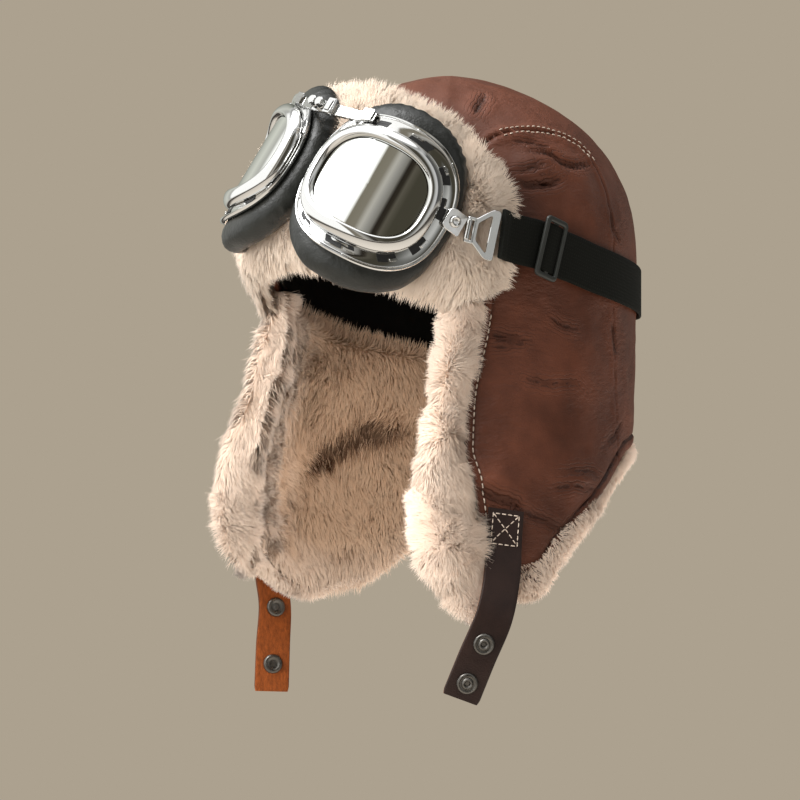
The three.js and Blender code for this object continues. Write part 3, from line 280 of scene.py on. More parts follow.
def reach(phi, z):
    """How far out the crown is at a height, as a share of its plan."""
    c = np.cos(np.radians(phi))
    s = np.clip((CROWN_TOP - z) / CROWN_RISE, 0, 1)
    return np.maximum(0, 1 - (1 - s) ** (1 / (0.45 + 0.05 * c))) ** (1 / (1.8 + 0.15 * c))


def dome_height(phi, rho):
    """Height over a share rho of the plan: the rise times 1 - (1 - rho^p)^k, taken down from the top."""
    c = np.cos(np.radians(phi))
    rest = np.maximum(0, 1 - rho ** (1.8 + 0.15 * c))
    return CROWN_TOP - CROWN_RISE * (1 - rest ** (0.45 + 0.05 * c))


def way_down(phi, z):
    """0 at the top of the crown, 1 at the equator and more down the skirt."""
    z = np.asarray(z, float)
    dome = np.arcsin(np.clip(reach(phi, z), 0, 1)) * 2 / np.pi
    return np.where(z <= EQUATOR, 1 + (EQUATOR - z) / SKIRT_SCALE, dome)


def skin(phi, q):
    """The plain outer surface: an oval plan whose share is the sine of the way down, then a skirt that splays."""
    phi, q = np.broadcast_arrays(np.asarray(phi, float), np.asarray(q, float))
    rho = np.where(q < 1, np.sin(np.clip(q, 0, 1) * np.pi / 2), 1.0)
    z = np.where(q < 1, dome_height(phi, rho), EQUATOR - (q - 1) * SKIRT_SCALE)
    turned = wrapped(phi)
    away = np.abs(turned)
    drop = smooth((FLAP_START - z) / 115)
    splay = drop * (1 - smooth((away - 75) / 65))
    tuck = 1 - NAPE_TUCK * smooth((FLAP_START - z) / 120) * smooth((away - 110) / 40)
    c, s = np.cos(np.radians(phi)), np.sin(np.radians(phi))
    depth = np.where(c > 0, FRONT_REACH, BACK_REACH)
    x = HALF_WIDTH * rho * tuck * s + np.where(turned < 0, -1, 1) * SPLAY_OUT * splay
    y = -depth * rho * tuck * c - SPLAY_FORWARD * splay
    return np.stack([x, y, z], -1)


def outward(phi, q):
    """The way out of the plain surface, from the cross product of its two slopes."""
    phi, q = np.broadcast_arrays(np.asarray(phi, float), np.maximum(np.asarray(q, float), 0.004))
    around = skin(phi + 0.05, q) - skin(phi - 0.05, q)
    down = skin(phi, q + 0.001) - skin(phi, q - 0.001)
    return unit(np.cross(down, around))


def at(phi, z, out):
    """A point at an angle, a height and a distance out of the plain surface."""
    q = way_down(phi, z)
    return skin(phi, q) + outward(phi, q) * np.asarray(out, float)[..., None]


def bearing(x, y, depth):
    """Angle of a spot in plan, round an oval that reaches as far back and front as depth says."""
    return np.degrees(np.arctan2(x / HALF_WIDTH, -y / depth))


def plan_depth(y):
    """The plan's reach to the front or to the back, whichever a spot is in."""
    return np.where(y < 0, FRONT_REACH, BACK_REACH)


def front_polar(p):
    """Angle of a point, and how far out it is as a share of the front half of the plan."""
    x, y = p[..., 0], p[..., 1]
    return bearing(x, y, FRONT_REACH), np.hypot(x / HALF_WIDTH, y / FRONT_REACH)


def buckle(phi, z):
    """Sum of soft oval bumps: the height times exp(-a² - b²) in each bump's own turned axes."""
    high = 0.0
    for row in BUCKLES:
        across = np.radians(wrapped(phi - row[0])) * MEAN_REACH
        up = z - row[1]
        c, s = np.cos(np.radians(row[4])), np.sin(np.radians(row[4]))
        a = (across * c + up * s) / row[2]
        b = (up * c - across * s) / row[3]
        high = high + row[5] * np.exp(-a * a - b * b)
    return high


def face_edge(phi):
    """Height of the leather's edge over the face: it falls with the cube of the angle's share, and tilts."""
    share = np.minimum(1, np.abs(phi) / TEMPLE)
    return FACE_TOP - FACE_DROP * share**3 - FACE_TILT * np.sin(np.radians(phi)) * (1 - share * share)


def leaned(column, z):
    """Angle of a column of the skirt, which leans with the front edge of the flap."""
    away = np.abs(column)
    lean = (curve(FLAP_FRONT, z) - TEMPLE) * (1 - smooth((away - TEMPLE) / 60))
    return np.where(z >= FLAP_START, column, np.sign(column) * (away + lean))


def hem(column):
    """Height of the hem below a column, from the left or the right table."""
    away = np.abs(column)
    return np.where(column < 0, curve(HEM_RIGHT, away), curve(HEM_LEFT, away))


def seam_distance(x, y):
    """Distance in plan to the seam line, above 0 on the side panel's side."""
    p = np.stack([np.abs(x), y], -1)
    plan = np.asarray(SEAM_PLAN, float)
    best = np.full(p.shape[:-1], 1e9)
    signed = np.zeros(p.shape[:-1])
    for a, b in zip(plan[:-1], plan[1:]):
        d = b - a
        t = np.clip(((p - a) @ d) / (d @ d), 0, 1)
        gap = p - a - t[..., None] * d
        length = np.linalg.norm(gap, axis=-1)
        side = np.sign(d[1] * (p[..., 0] - a[0]) - d[0] * (p[..., 1] - a[1]))
        nearer = length < best
        best = np.where(nearer, length, best)
        signed = np.where(nearer, length * side, signed)
    return signed


# ---- meshes


def piece(name, points, faces, material, uv=None, values=None, normals=None, sharp=None):
    """A mesh object from points in millimetres and arrays of triangles and quads."""
    mesh = bpy.data.meshes.new(name)
    faces = [f for f in faces if len(f)]
    corners = np.concatenate([f.ravel() for f in faces]).astype(np.int32)
    sizes = np.concatenate([np.full(len(f), f.shape[1]) for f in faces])
    starts = np.concatenate([[0], np.cumsum(sizes)[:-1]]).astype(np.int32)
    mesh.vertices.add(len(points))
    mesh.vertices.foreach_set("co", (np.asarray(points) * MM).astype(np.float32).ravel())
    mesh.loops.add(len(corners))
    mesh.loops.foreach_set("vertex_index", corners)
    mesh.polygons.add(len(sizes))
    mesh.polygons.foreach_set("loop_start", starts)
    mesh.polygons.foreach_set("use_smooth", np.full(len(sizes), True))
    if uv is not None:
        layer = mesh.uv_layers.new(name="UVMap")
        layer.data.foreach_set("uv", np.asarray(uv, np.float32)[corners].ravel())
    for key, value in (values or {}).items():
        attribute = mesh.attributes.new(key, "FLOAT", "POINT")
        attribute.data.foreach_set("value", np.asarray(value, np.float32).ravel())
    mesh.update(calc_edges=True)
    if sharp is not None:
        mesh.set_sharp_from_angle(angle=np.radians(sharp))
    if normals is not None:
        mesh.normals_split_custom_set_from_vertices(normals.astype(np.float32))
    mesh.materials.append(material)
    obj = bpy.data.objects.new(name, mesh)
    bpy.context.scene.collection.objects.link(obj)
    return obj


def fit(obj, node=None):
    """The piece rides on the hat's one body and stands in for its node if it has one."""
    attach(obj, "root")
    if node:
        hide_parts(node)
    return obj


def grid_quads(rows, columns, wrap_rows=False, wrap_columns=False):
    """Corner numbers of the quads of a grid of points kept row by row."""
    i = np.arange(rows if wrap_rows else rows - 1)[:, None]
    j = np.arange(columns if wrap_columns else columns - 1)[None, :]
    a = i * columns + j
    b = ((i + 1) % rows) * columns + j
    c = ((i + 1) % rows) * columns + (j + 1) % columns
    d = i * columns + (j + 1) % columns
    return np.stack(np.broadcast_arrays(a, b, c, d), -1).reshape(-1, 4)


def fan(centre, columns, start=0):
    """Triangles from a centre point to each step of a closed ring that begins at a start number."""
    j = np.arange(columns)
    return np.stack([np.full(columns, centre), start + j, start + (j + 1) % columns], -1)


def spread(first, second, rows, columns):
    """Two numbers on a grid, each at even steps between its two ends."""
    return np.meshgrid(np.linspace(*first, rows), np.linspace(*second, columns), indexing="ij")


def facing_out(points, faces):
    """The faces, turned round if the volume that they enclose comes out below zero."""
    volume = 0.0
    for f in faces:
        for k in range(1, f.shape[1] - 1):
            a, b, c = points[f[:, 0]], points[f[:, k]], points[f[:, k + 1]]
            volume += (a * np.cross(b, c)).sum()
    return [f[:, ::-1] for f in faces] if volume < 0 else faces


def thickened(outer, inner, faces):
    """A closed wall: a sheet, the same sheet further in and turned round, and a strip round each open edge."""
    n = len(outer)
    edges = np.concatenate([np.stack([f[:, k], f[:, (k + 1) % f.shape[1]]], -1)
                            for f in faces for k in range(f.shape[1])])
    key = np.sort(edges, 1)
    key = key[:, 0].astype(np.int64) * n + key[:, 1]
    _, first, count = np.unique(key, return_index=True, return_counts=True)
    rim = edges[first[count == 1]]
    strip = np.stack([rim[:, 1], rim[:, 0], rim[:, 0] + n, rim[:, 1] + n], -1)
    points = np.concatenate([outer, inner])
    return points, facing_out(points, [*faces, *[f[:, ::-1] + n for f in faces], strip])


def wall(outer, inner):
    """A closed wall between two grids of points."""
    return thickened(outer.reshape(-1, 3), inner.reshape(-1, 3), [grid_quads(*outer.shape[:2])])


def compact(points, faces, *others):
    """Leaves out the points that no face uses."""
    used = np.unique(np.concatenate([f.ravel() for f in faces]))
    place = np.zeros(len(points), np.int64)
    place[used] = np.arange(len(used))
    return (points[used], [place[f] for f in faces], *[o[used] for o in others])


def lofted(rings, closed=False):
    """A body through rings of points (ring, point, xyz), joined end to end or closed with flat ends."""
    rows, columns = rings.shape[:2]
    points = rings.reshape(-1, 3)
    faces = [grid_quads(rows, columns, closed, True)]
    if not closed:
        faces.append(fan(len(points), columns))
        faces.append(fan(len(points) + 1, columns, (rows - 1) * columns)[:, [0, 2, 1]])
        points = np.concatenate([points, rings[0].mean(0)[None], rings[-1].mean(0)[None]])
    return points, facing_out(points, faces)


def joined(parts):
    """Several (points, faces) as one."""
    points, faces, start = [], [], 0
    for p, f in parts:
        points.append(p)
        faces += [g + start for g in f]
        start += len(p)
    sizes = sorted({f.shape[1] for f in faces})
    return np.concatenate(points), [np.concatenate([f for f in faces if f.shape[1] == n]) for n in sizes]


def rounded(outline, radius, steps=5):
    """A closed outline whose corners are arcs: each corner is cut and filled with a quadratic curve."""
    p = np.asarray(outline, float)
    back, ahead = np.roll(p, 1, 0) - p, np.roll(p, -1, 0) - p
    reach_back = np.minimum(radius, 0.48 * np.linalg.norm(back, axis=1))[:, None]
    reach_on = np.minimum(radius, 0.48 * np.linalg.norm(ahead, axis=1))[:, None]
    a, b = p + unit(back) * reach_back, p + unit(ahead) * reach_on
    t = np.linspace(0, 1, steps)[None, :, None]
    arc = (1 - t) ** 2 * a[:, None] + 2 * t * (1 - t) * p[:, None] + t * t * b[:, None]
    return arc.reshape(-1, 2)


def plate(outline, low, high, bevel, place):
    """A flat plate of an outline with small bevels; place turns (across, up, out) into the hat's axes."""
    p = np.asarray(outline, float)
    middle = p.mean(0)
    pulled = p - unit(p - middle) * bevel
    rings = [np.column_stack([q, np.full(len(p), h)]) for q, h in
             ((pulled, low), (p, low + bevel), (p, high - bevel), (pulled, high))]
    return lofted(place(np.stack(rings)))


def turned(profile, steps, place):
    """A lathe body: a profile of (radius, height) carried round the out axis."""
    turn = full_turn(steps)
    profile = np.asarray(profile, float)
    r, h = profile[:, 0][:, None], profile[:, 1][:, None]
    rings = np.stack([r * np.cos(turn), r * np.sin(turn), h + 0 * turn], -1)
    return lofted(place(rings))


def set_in(start, first, second, third):
    """A function that turns (across, up, out) into the hat's axes by three ways from a start."""
    return lambda p: start + first * p[..., :1] + second * p[..., 1:2] + third * p[..., 2:]


def ring_plate(outer, inner, low, high, bevel, place):
    """A plate with a hole: a small rectangular section carried round between two outlines."""
    o, i = np.asarray(outer, float), np.asarray(inner, float)
    d = unit(o - i)
    section = ((o - d * bevel, high), (o, high - bevel), (o, low + bevel), (o - d * bevel, low),
               (i + d * bevel, low), (i, low + bevel), (i, high - bevel), (i + d * bevel, high))
    rings = np.stack([np.column_stack([q, np.full(len(o), h)]) for q, h in section], 1)
    return lofted(place(rings), closed=True)


# ---- materials


class Nodes:
    """Short helpers for the nodes of one tree."""

    def __init__(self, tree):
        self.tree = tree

    def node(self, kind, **values):
        """A new node, with settings by their own names and inputs by their names in small letters."""
        node = self.tree.nodes.new(kind)
        for key, value in values.items():
            if hasattr(node, key):
                setattr(node, key, value)
            else:
                node.inputs[key.replace("_", " ").title()].default_value = value
        return node

    def link(self, a, b):
        """Leads an output to an input."""
        self.tree.links.new(a, b)

    def feed(self, node, key, item):
        """Gives an input a number, a colour or another node's output."""
        if isinstance(item, (int, float)):
            node.inputs[key].default_value = item
        elif isinstance(item, tuple):
            node.inputs[key].default_value = (*item, 1)
        else:
            self.link(item, node.inputs[key])

    def ramp(self, fac, stops):
        """Colours by a value, from stops of (value, colour)."""
        node = self.node("ShaderNodeValToRGB")
        elements = node.color_ramp.elements
        for k, (place, colour) in enumerate(stops):
            element = elements[k] if k < len(elements) else elements.new(place)
            element.position = place
            element.color = (*colour, 1)
        self.link(fac, node.inputs["Fac"])
        return node.outputs["Color"]

    def sums(self, operation, a, b):
        """One step of arithmetic on two values."""
        node = self.node("ShaderNodeMath", operation=operation)
        self.feed(node, 0, a)
        self.feed(node, 1, b)
        return node.outputs[0]

    def mixed(self, fac, a, b):
        """Colour a where the factor is 0, colour b where it is 1."""
        node = self.node("ShaderNodeMix", data_type="RGBA")
        for key, item in ((0, fac), (6, a), (7, b)):
            self.feed(node, key, item)
        return node.outputs[2]


class Paint(Nodes):
    """A material with short helpers for its nodes."""

    def __init__(self, name, colour, rough, metal=0.0):
        self.mat = bpy.data.materials.new(name)
        self.mat.use_nodes = True
        super().__init__(self.mat.node_tree)
        self.shader = self.tree.nodes["Principled BSDF"]
        self.set(base=(*colour, 1), rough=rough, metal=metal)
        self.bumped = None

    def set(self, **values):
        """Fixed values of the shader's inputs."""
        names = {"base": "Base Color", "rough": "Roughness", "metal": "Metallic", "sheen": "Sheen Weight",
                 "sheen_rough": "Sheen Roughness", "specular": "Specular IOR Level", "coat": "Coat Weight",
                 "coat_rough": "Coat Roughness"}
        for key, value in values.items():
            self.shader.inputs[names[key]].default_value = value

    def where(self, scale=(1, 1, 1), turn=(0, 0, 0), uv=False):
        """Places on the piece, stretched and turned: its own axes in metres, or its map."""
        coordinates = self.node("ShaderNodeTexCoord")
        mapping = self.node("ShaderNodeMapping")
        mapping.inputs["Scale"].default_value = scale
        mapping.inputs["Rotation"].default_value = turn
        self.link(coordinates.outputs["UV" if uv else "Object"], mapping.inputs["Vector"])
        return mapping.outputs["Vector"]

    def speckle(self, scale, detail=3.0, place=None, rough=0.5):
        """Cloudy noise; a higher scale makes it finer."""
        node = self.node("ShaderNodeTexNoise", scale=scale, detail=detail, roughness=rough)
        self.link(place or self.where(), node.inputs["Vector"])
        return node.outputs["Fac"]

    def cells(self, scale):
        """Distance to the nearest of scattered points, which looks like grain."""
        node = self.node("ShaderNodeTexVoronoi", scale=scale)
        self.link(self.where(), node.inputs["Vector"])
        return node.outputs["Distance"]

    def value(self, key):
        """A value that the mesh holds for each point."""
        return self.node("ShaderNodeAttribute", attribute_name=key).outputs["Fac"]

    def range(self, fac, low, high, out_low, out_high):
        """A value from low to high brought to out_low to out_high, and held there beyond them."""
        node = self.node("ShaderNodeMapRange")
        for name, value in (("From Min", low), ("From Max", high), ("To Min", out_low), ("To Max", out_high)):
            node.inputs[name].default_value = value
        self.link(fac, node.inputs["Value"])
        return node.outputs["Result"]

    def uneven(self, scale, detail, low, high):
        """Roughness from low to high in soft patches."""
        self.roughness(self.range(self.speckle(scale, detail), 0.3, 0.7, low, high))

    def bump(self, height, strength, depth):
        """Small relief in the shading, over the relief that is there already."""
        node = self.node("ShaderNodeBump")
        node.inputs["Strength"].default_value = strength
        node.inputs["Distance"].default_value = depth
        self.link(height, node.inputs["Height"])
        if self.bumped is not None:
            self.link(self.bumped, node.inputs["Normal"])
        self.bumped = node.outputs["Normal"]
        self.link(self.bumped, self.shader.inputs["Normal"])

    def colour(self, output):
        """The shader's colour from an output."""
        self.link(output, self.shader.inputs["Base Color"])

    def roughness(self, output):
        """The shader's roughness from an output."""
        self.link(output, self.shader.inputs["Roughness"])


def tinted(colour, share):
    """A colour times a share."""
    return tuple(share * c for c in colour)


def leather_paint(name, dark, mid, light):
    """Grained leather: colour drifts in soft patches, the top of the crown is painted paler (painted light), sunk
    creases and grooves are painted darker with dark fine folds beside them (painted shade), and the grain is small
    cells and pores.
    """
    paint = Paint(name, mid, 0.5)
    patch = paint.speckle(22, 5, rough=0.6)
    shadow = tuple(0.6 * d + 0.4 * m for d, m in zip(dark, mid))
    base = paint.ramp(patch, ((0.3, shadow), (0.5, mid), (0.74, light)))
    # Painted light: the crown is painted paler towards its top, where the lamps from above light it most.
    height = paint.node("ShaderNodeSeparateXYZ")
    paint.link(paint.where(), height.inputs["Vector"])
    base = paint.mixed(paint.range(height.outputs["Z"], -0.075, 0.0, 0.0, 0.75), base, light)
    # Painted shade: the leather is painted darker where it sinks into creases and grooves.
    clear_of_crease_shade = paint.range(paint.value("relief"), 0.1, 0.7, 0.0, 1.0)
    base = paint.mixed(clear_of_crease_shade, paint.mixed(0.6, base, dark), base)
    # Painted shade: dark fine folds drawn beside each crease and along the hem's groove; the same lines also make a
    # bump.
    wobble = paint.sums("MULTIPLY", paint.sums("SUBTRACT", paint.speckle(190, 3), 0.5), 3.4)
    gap = paint.sums("MULTIPLY", paint.sums("ADD", paint.value("crease"), wobble), 0.1)
    lines = paint.ramp(gap, [(place, (level,) * 3) for place, level in FOLD_LINES])
    folds = paint.sums("MULTIPLY", lines, paint.value("fold"))
    base = paint.mixed(paint.sums("MULTIPLY", folds, 0.8), base, tinted(dark, 0.3))
    pores = paint.range(paint.speckle(900, 3, rough=0.7), 0.55, 0.8, 0.0, 0.3)
    paint.colour(paint.mixed(pores, base, dark))
    paint.uneven(60, 4, 0.42, 0.56)
    where = paint.range(paint.speckle(28, 2), 0.42, 0.62, 0.15, 1.0)
    drawn = paint.speckle(150, 5, paint.where((1.0, 1.0, 2.6), (0.3, 0.2, 0.5)), 0.62)
    wrinkle = paint.range(drawn, 0.36, 0.6, 0.0, 1.0)
    paint.bump(paint.sums("MULTIPLY", wrinkle, where), 0.42, 0.0010)
    paint.bump(paint.sums("SUBTRACT", 1.0, folds), 0.8, 0.0011)
    paint.bump(paint.cells(1000.0), 0.32, 0.00022)
    paint.set(specular=0.3)
    return paint.mat


def fur_paint(name, pale, tan_and_shade):
    """Pile: darker at the roots and cream at the tips, each tuft a tone of its own, and darker down to near black in
    the painted shadow of the pile's folds.

    pale and tan_and_shade are each the colours of root, middle and tip; the strands' own value says how much of the
    second they take: the browner pile deep in a flap, partly its own tan and partly painted shade.
    A strand is lit alike from both of its faces: seen from its back, its normal is turned round again.
    Two fifths of the light goes through a strand, as it does through thin hair.
    """
    paint = Paint(name, pale[1], 0.75)
    both = [paint.ramp(paint.value("tip"), ((0.0, root), (0.45, middle), (0.95, tip)))
            for root, middle, tip in (pale, tan_and_shade)]
    base = paint.mixed(paint.value("tan_and_shade"), *both)
    middle = paint.mixed(paint.value("tan_and_shade"), pale[1], tan_and_shade[1])
    shade = paint.value("shade")
    # Low shades darken the pile: the lowest, brown to near black, are the painted shadow in its folds.
    for low, high, share, tone in ((0.25, 0.8, 0.4, middle), (0.1, 0.55, 0.75, (0.30, 0.135, 0.055)),
                                   (0.0, 0.2, 0.9, (0.048, 0.014, 0.004))):
        base = paint.mixed(paint.range(shade, low, high, share, 0.0), base, tone)
    patch = paint.range(paint.speckle(45, 3), 0.35, 0.7, 0.0, 0.25)
    paint.colour(paint.mixed(patch, base, middle))
    surface = paint.node("ShaderNodeNewGeometry")
    upright = paint.node("ShaderNodeVectorMath", operation="SCALE")
    paint.link(surface.outputs["Normal"], upright.inputs["Vector"])
    paint.link(paint.range(surface.outputs["Backfacing"], 0, 1, 1, -1), upright.inputs["Scale"])
    paint.link(upright.outputs["Vector"], paint.shader.inputs["Normal"])
    through = paint.node("ShaderNodeBsdfTranslucent")
    paint.link(paint.shader.inputs["Base Color"].links[0].from_socket, through.inputs["Color"])
    paint.link(upright.outputs["Vector"], through.inputs["Normal"])
    both_ways = paint.node("ShaderNodeMixShader")
    both_ways.inputs[0].default_value = 0.4
    paint.link(paint.shader.outputs[0], both_ways.inputs[1])
    paint.link(through.outputs[0], both_ways.inputs[2])
    paint.link(both_ways.outputs[0], paint.tree.nodes["Material Output"].inputs["Surface"])
    paint.set(specular=0.14, sheen=0.1, sheen_rough=0.5)
    return paint.mat


def chrome_paint(name, colour, rough=0.06):
    """Polished plate with faint wipe marks and a little waviness."""
    paint = Paint(name, colour, rough, 1.0)
    paint.roughness(paint.range(paint.speckle(240, 4, rough=0.7), 0.35, 0.75, rough * 0.7, rough * 2.2))
    paint.bump(paint.speckle(70, 2), 0.06, 0.0004)
    return paint.mat


def cloth_paint(name, colour, thread, pitch):
    """Woven elastic: ribs across the band crossed by fine threads, on the band's own map in metres."""
    paint = Paint(name, colour, 0.8)
    waves = []
    for way in ("X", "Y"):
        wave = paint.node("ShaderNodeTexWave", wave_type="BANDS", bands_direction=way)
        wave.inputs["Scale"].default_value = 0.314 / pitch / 2
        paint.link(paint.where(uv=True), wave.inputs["Vector"])
        waves.append(wave.outputs["Fac"])
    weave = paint.sums("MULTIPLY", *waves)
    paint.colour(paint.mixed(paint.range(weave, 0, 1, 0, 0.7), colour, thread))
    paint.bump(weave, 0.5, 0.00035)
    paint.set(specular=0.2)
    return paint.mat


# ---- properties


class HatSizes(bpy.types.PropertyGroup):
    """Sizes that a user would change."""

    brim_pile: bpy.props.FloatProperty(name="Brim pile", description="Length of the pile of the brim",
                                       default=0.0105, min=0.004, max=0.02, unit="LENGTH")
    flap_pile: bpy.props.FloatProperty(name="Flap pile", description="Length of the pile on the flap edges",
                                       default=0.0105, min=0.004, max=0.02, unit="LENGTH")
    inner_pile: bpy.props.FloatProperty(name="Inner pile", description="Length of the pile inside the flaps",
                                        default=0.009, min=0.003, max=0.016, unit="LENGTH")
    strand_width: bpy.props.FloatProperty(name="Strand width", description="Width of a strand of pile at its root",
                                          default=0.00062, min=0.0002, max=0.001, unit="LENGTH")
    pile_count: bpy.props.IntProperty(name="Strands", description="Strands of pile in a full piece",
                                      default=60000, min=1000, max=64000)
    crease_depth: bpy.props.FloatProperty(name="Crease depth", description="Depth of the creases against the table's",
                                          default=1.35, min=0.0, max=2.0, subtype="FACTOR")
    stitch_length: bpy.props.FloatProperty(name="Stitch length", description="Length of one stitch",
                                           default=0.0027, min=0.001, max=0.005, unit="LENGTH")


class HatColours(bpy.types.PropertyGroup):
    """Colours that a user would change."""

    leather: bpy.props.FloatVectorProperty(name="Leather", description="Brown of the crown", subtype="COLOR",
                                           size=3, default=(0.098, 0.0305, 0.0152), min=0, max=1)
    pile: bpy.props.FloatVectorProperty(name="Pile", description="Cream of the pile's tips", subtype="COLOR",
                                        size=3, default=(0.88, 0.76, 0.64), min=0, max=1)
    chrome: bpy.props.FloatVectorProperty(name="Chrome", description="Tint of the chrome plate", subtype="COLOR",
                                          size=3, default=(0.74, 0.74, 0.73), min=0, max=1)
    backdrop: bpy.props.FloatVectorProperty(name="Backdrop", description="Colour of the studio floor and wall",
                                            subtype="COLOR", size=3, default=(0.413, 0.356, 0.275), min=0, max=1)


def sizes():
    """The sizes as they stand in the scene."""
    return bpy.context.scene.hat_sizes


def colours():
    """The colours as they stand in the scene."""
    return bpy.context.scene.hat_colours


# ---- leather


def traced(rows, steps, out, rise, least):
    """Points along a line of (angle, height) rows at a distance out of the plain surface.

    Also how full the line is at each of them: least at its two ends, rising with the share of the way.
    """
    step, k = np.linspace(0, len(rows) - 1, steps), np.arange(len(rows))
    phi, z = np.interp(step, k, rows[:, 0]), np.interp(step, k, rows[:, 1])
    nearer_end = np.minimum(np.linspace(0, 1, steps), np.linspace(1, 0, steps))
    return at(phi, z, 0 * z + out), smooth(nearer_end * rise + least)


def crease_relief(points):
    """Each crease sinks by its depth times exp(-(d/w)²) at a distance d, and its lips rise a third as much.

    A crease is narrower and shallower towards its ends. Also gives the distance to the nearest crease
    and how plainly it shows, which the leather's paint draws the painted shade of fine folds by.
    """
    relief = np.zeros(len(points))
    nearest = np.full(len(points), 12.0)
    shown = np.zeros(len(points))
    for rows, depth, width in CREASES:
        rows = np.asarray(rows, float)
        rows[:, 0] = np.degrees(np.unwrap(np.radians(rows[:, 0])))
        line, fade = traced(rows, 24, 0.0, 2.6, 0.03)
        taper = width * (0.4 + 0.6 * fade)
        near = np.linalg.norm(points - line.mean(0), axis=1) < 70
        gap = np.linalg.norm(points[near, None] - line[None], axis=2)
        sink = (np.exp(-((gap / taper) ** 2)) * fade).max(1)
        lip = (np.exp(-(((gap - 2.4 * taper) / (1.5 * taper)) ** 2)) * fade).max(1) * (1 - sink)
        relief[near] += depth * (0.34 * lip - sink)
        nearest[near] = np.minimum(nearest[near], gap.min(1))
        plain = min(0.35 + 0.45 * depth, 1.0) * (np.exp(-((gap / 7.0) ** 2)) * fade).max(1)
        shown[near] = np.maximum(shown[near], plain)
    return relief, nearest, shown


def leather_columns():
    """Angles of the columns, closer together on the wearer's left, which the camera sees."""
    fine = np.arange(48, 132, 0.84)
    coarse = np.linspace(132, 408, 111)[:-1]
    return wrapped(np.concatenate([fine, coarse]))


def leather_surface():
    """The whole leather as one sheet: a cap to the face edge, then the skirt behind the temples."""
    column = leather_columns()
    cap, skirt = 90, 76
    edge = np.where(np.abs(column) <= TEMPLE, face_edge(column), FLAP_START)
    share = np.linspace(0, 1, cap + 1)[1:, None]
    q_cap = way_down(column, edge)[None] * share
    phi_cap = np.broadcast_to(column, q_cap.shape)
    low = hem(column)
    z = FLAP_START + (low - FLAP_START)[None] * np.linspace(0, 1, skirt + 1)[1:, None]
    phi_skirt = leaned(np.broadcast_to(column, z.shape), z)
    q_skirt = way_down(phi_skirt, z)
    phi = np.concatenate([phi_cap, phi_skirt])
    q = np.concatenate([q_cap, q_skirt])
    rows, n = phi.shape
    quads = grid_quads(rows, n, False, True)
    row, col = quads[:, 0] // n, quads[:, 0] % n
    ahead = (np.abs(column[col]) < TEMPLE - 0.01) | (np.abs(column[(col + 1) % n]) < TEMPLE - 0.01)
    quads = quads[(row < cap - 1) | ~ahead]
    phi = np.append(phi.ravel(), 0.0)
    q = np.append(q.ravel(), 0.0)
    columns = np.broadcast_to(column, (rows, n)).ravel()
    return phi, q, np.append(columns, 0.0), [fan(rows * n, n), quads]


def seam_slopes(phi, q):
    """Points, their distance to the seam in plan, and its slope and the length for a small step each way."""
    p = skin(phi, q)
    d = seam_distance(p[:, 0], p[:, 1])
    ways = []
    for ahead in (skin(phi + SEAM_STEPS[0], q), skin(phi, q + SEAM_STEPS[1])):
        length = np.linalg.norm(ahead - p, axis=1) + 1e-9
        ways.append(((seam_distance(ahead[:, 0], ahead[:, 1]) - d) / length, length))
    return p, d, *ways


def snapped(phi, q):
    """Points near the seam slide on to it: three steps against the slope of the distance to the seam."""
    for _ in range(3):
        p, d, (slope_phi, length_phi), (slope_q, length_q) = seam_slopes(phi, q)
        steep = slope_phi**2 + slope_q**2
        on_surface = d / np.sqrt(np.maximum(steep, 0.02))
        near = (np.abs(on_surface) < 0.85) & (steep > 0.02) & (p[:, 2] < 0)
        move = np.where(near, d / np.maximum(steep, 0.02), 0.0)
        phi = phi - move * slope_phi * SEAM_STEPS[0] / length_phi
        q = q - move * slope_q * SEAM_STEPS[1] / length_q
    return phi, q


def seam_reach(phi, q):
    """Distance to the seam measured on the surface: the distance in plan over the root of its squared slopes."""
    _, d, (slope_phi, _), (slope_q, _) = seam_slopes(phi, q)
    return d / np.sqrt(np.maximum(slope_phi**2 + slope_q**2, 0.03))


def edge_distance(column, phi, z):
    """Distance to the hem and to the front edge of a flap, in millimetres on the skirt."""
    step = 0.5
    slope = (hem(column + step * np.sign(column)) - hem(column)) / (step * HEM_DEGREE)
    low = (z - hem(column)) / np.sqrt(1 + slope**2)
    front = (np.abs(phi) - curve(FLAP_FRONT, z)) * FRONT_DEGREE
    return np.where(z < FLAP_START, low, 60.0), np.where(z < FLAP_START + 4, front, 60.0)


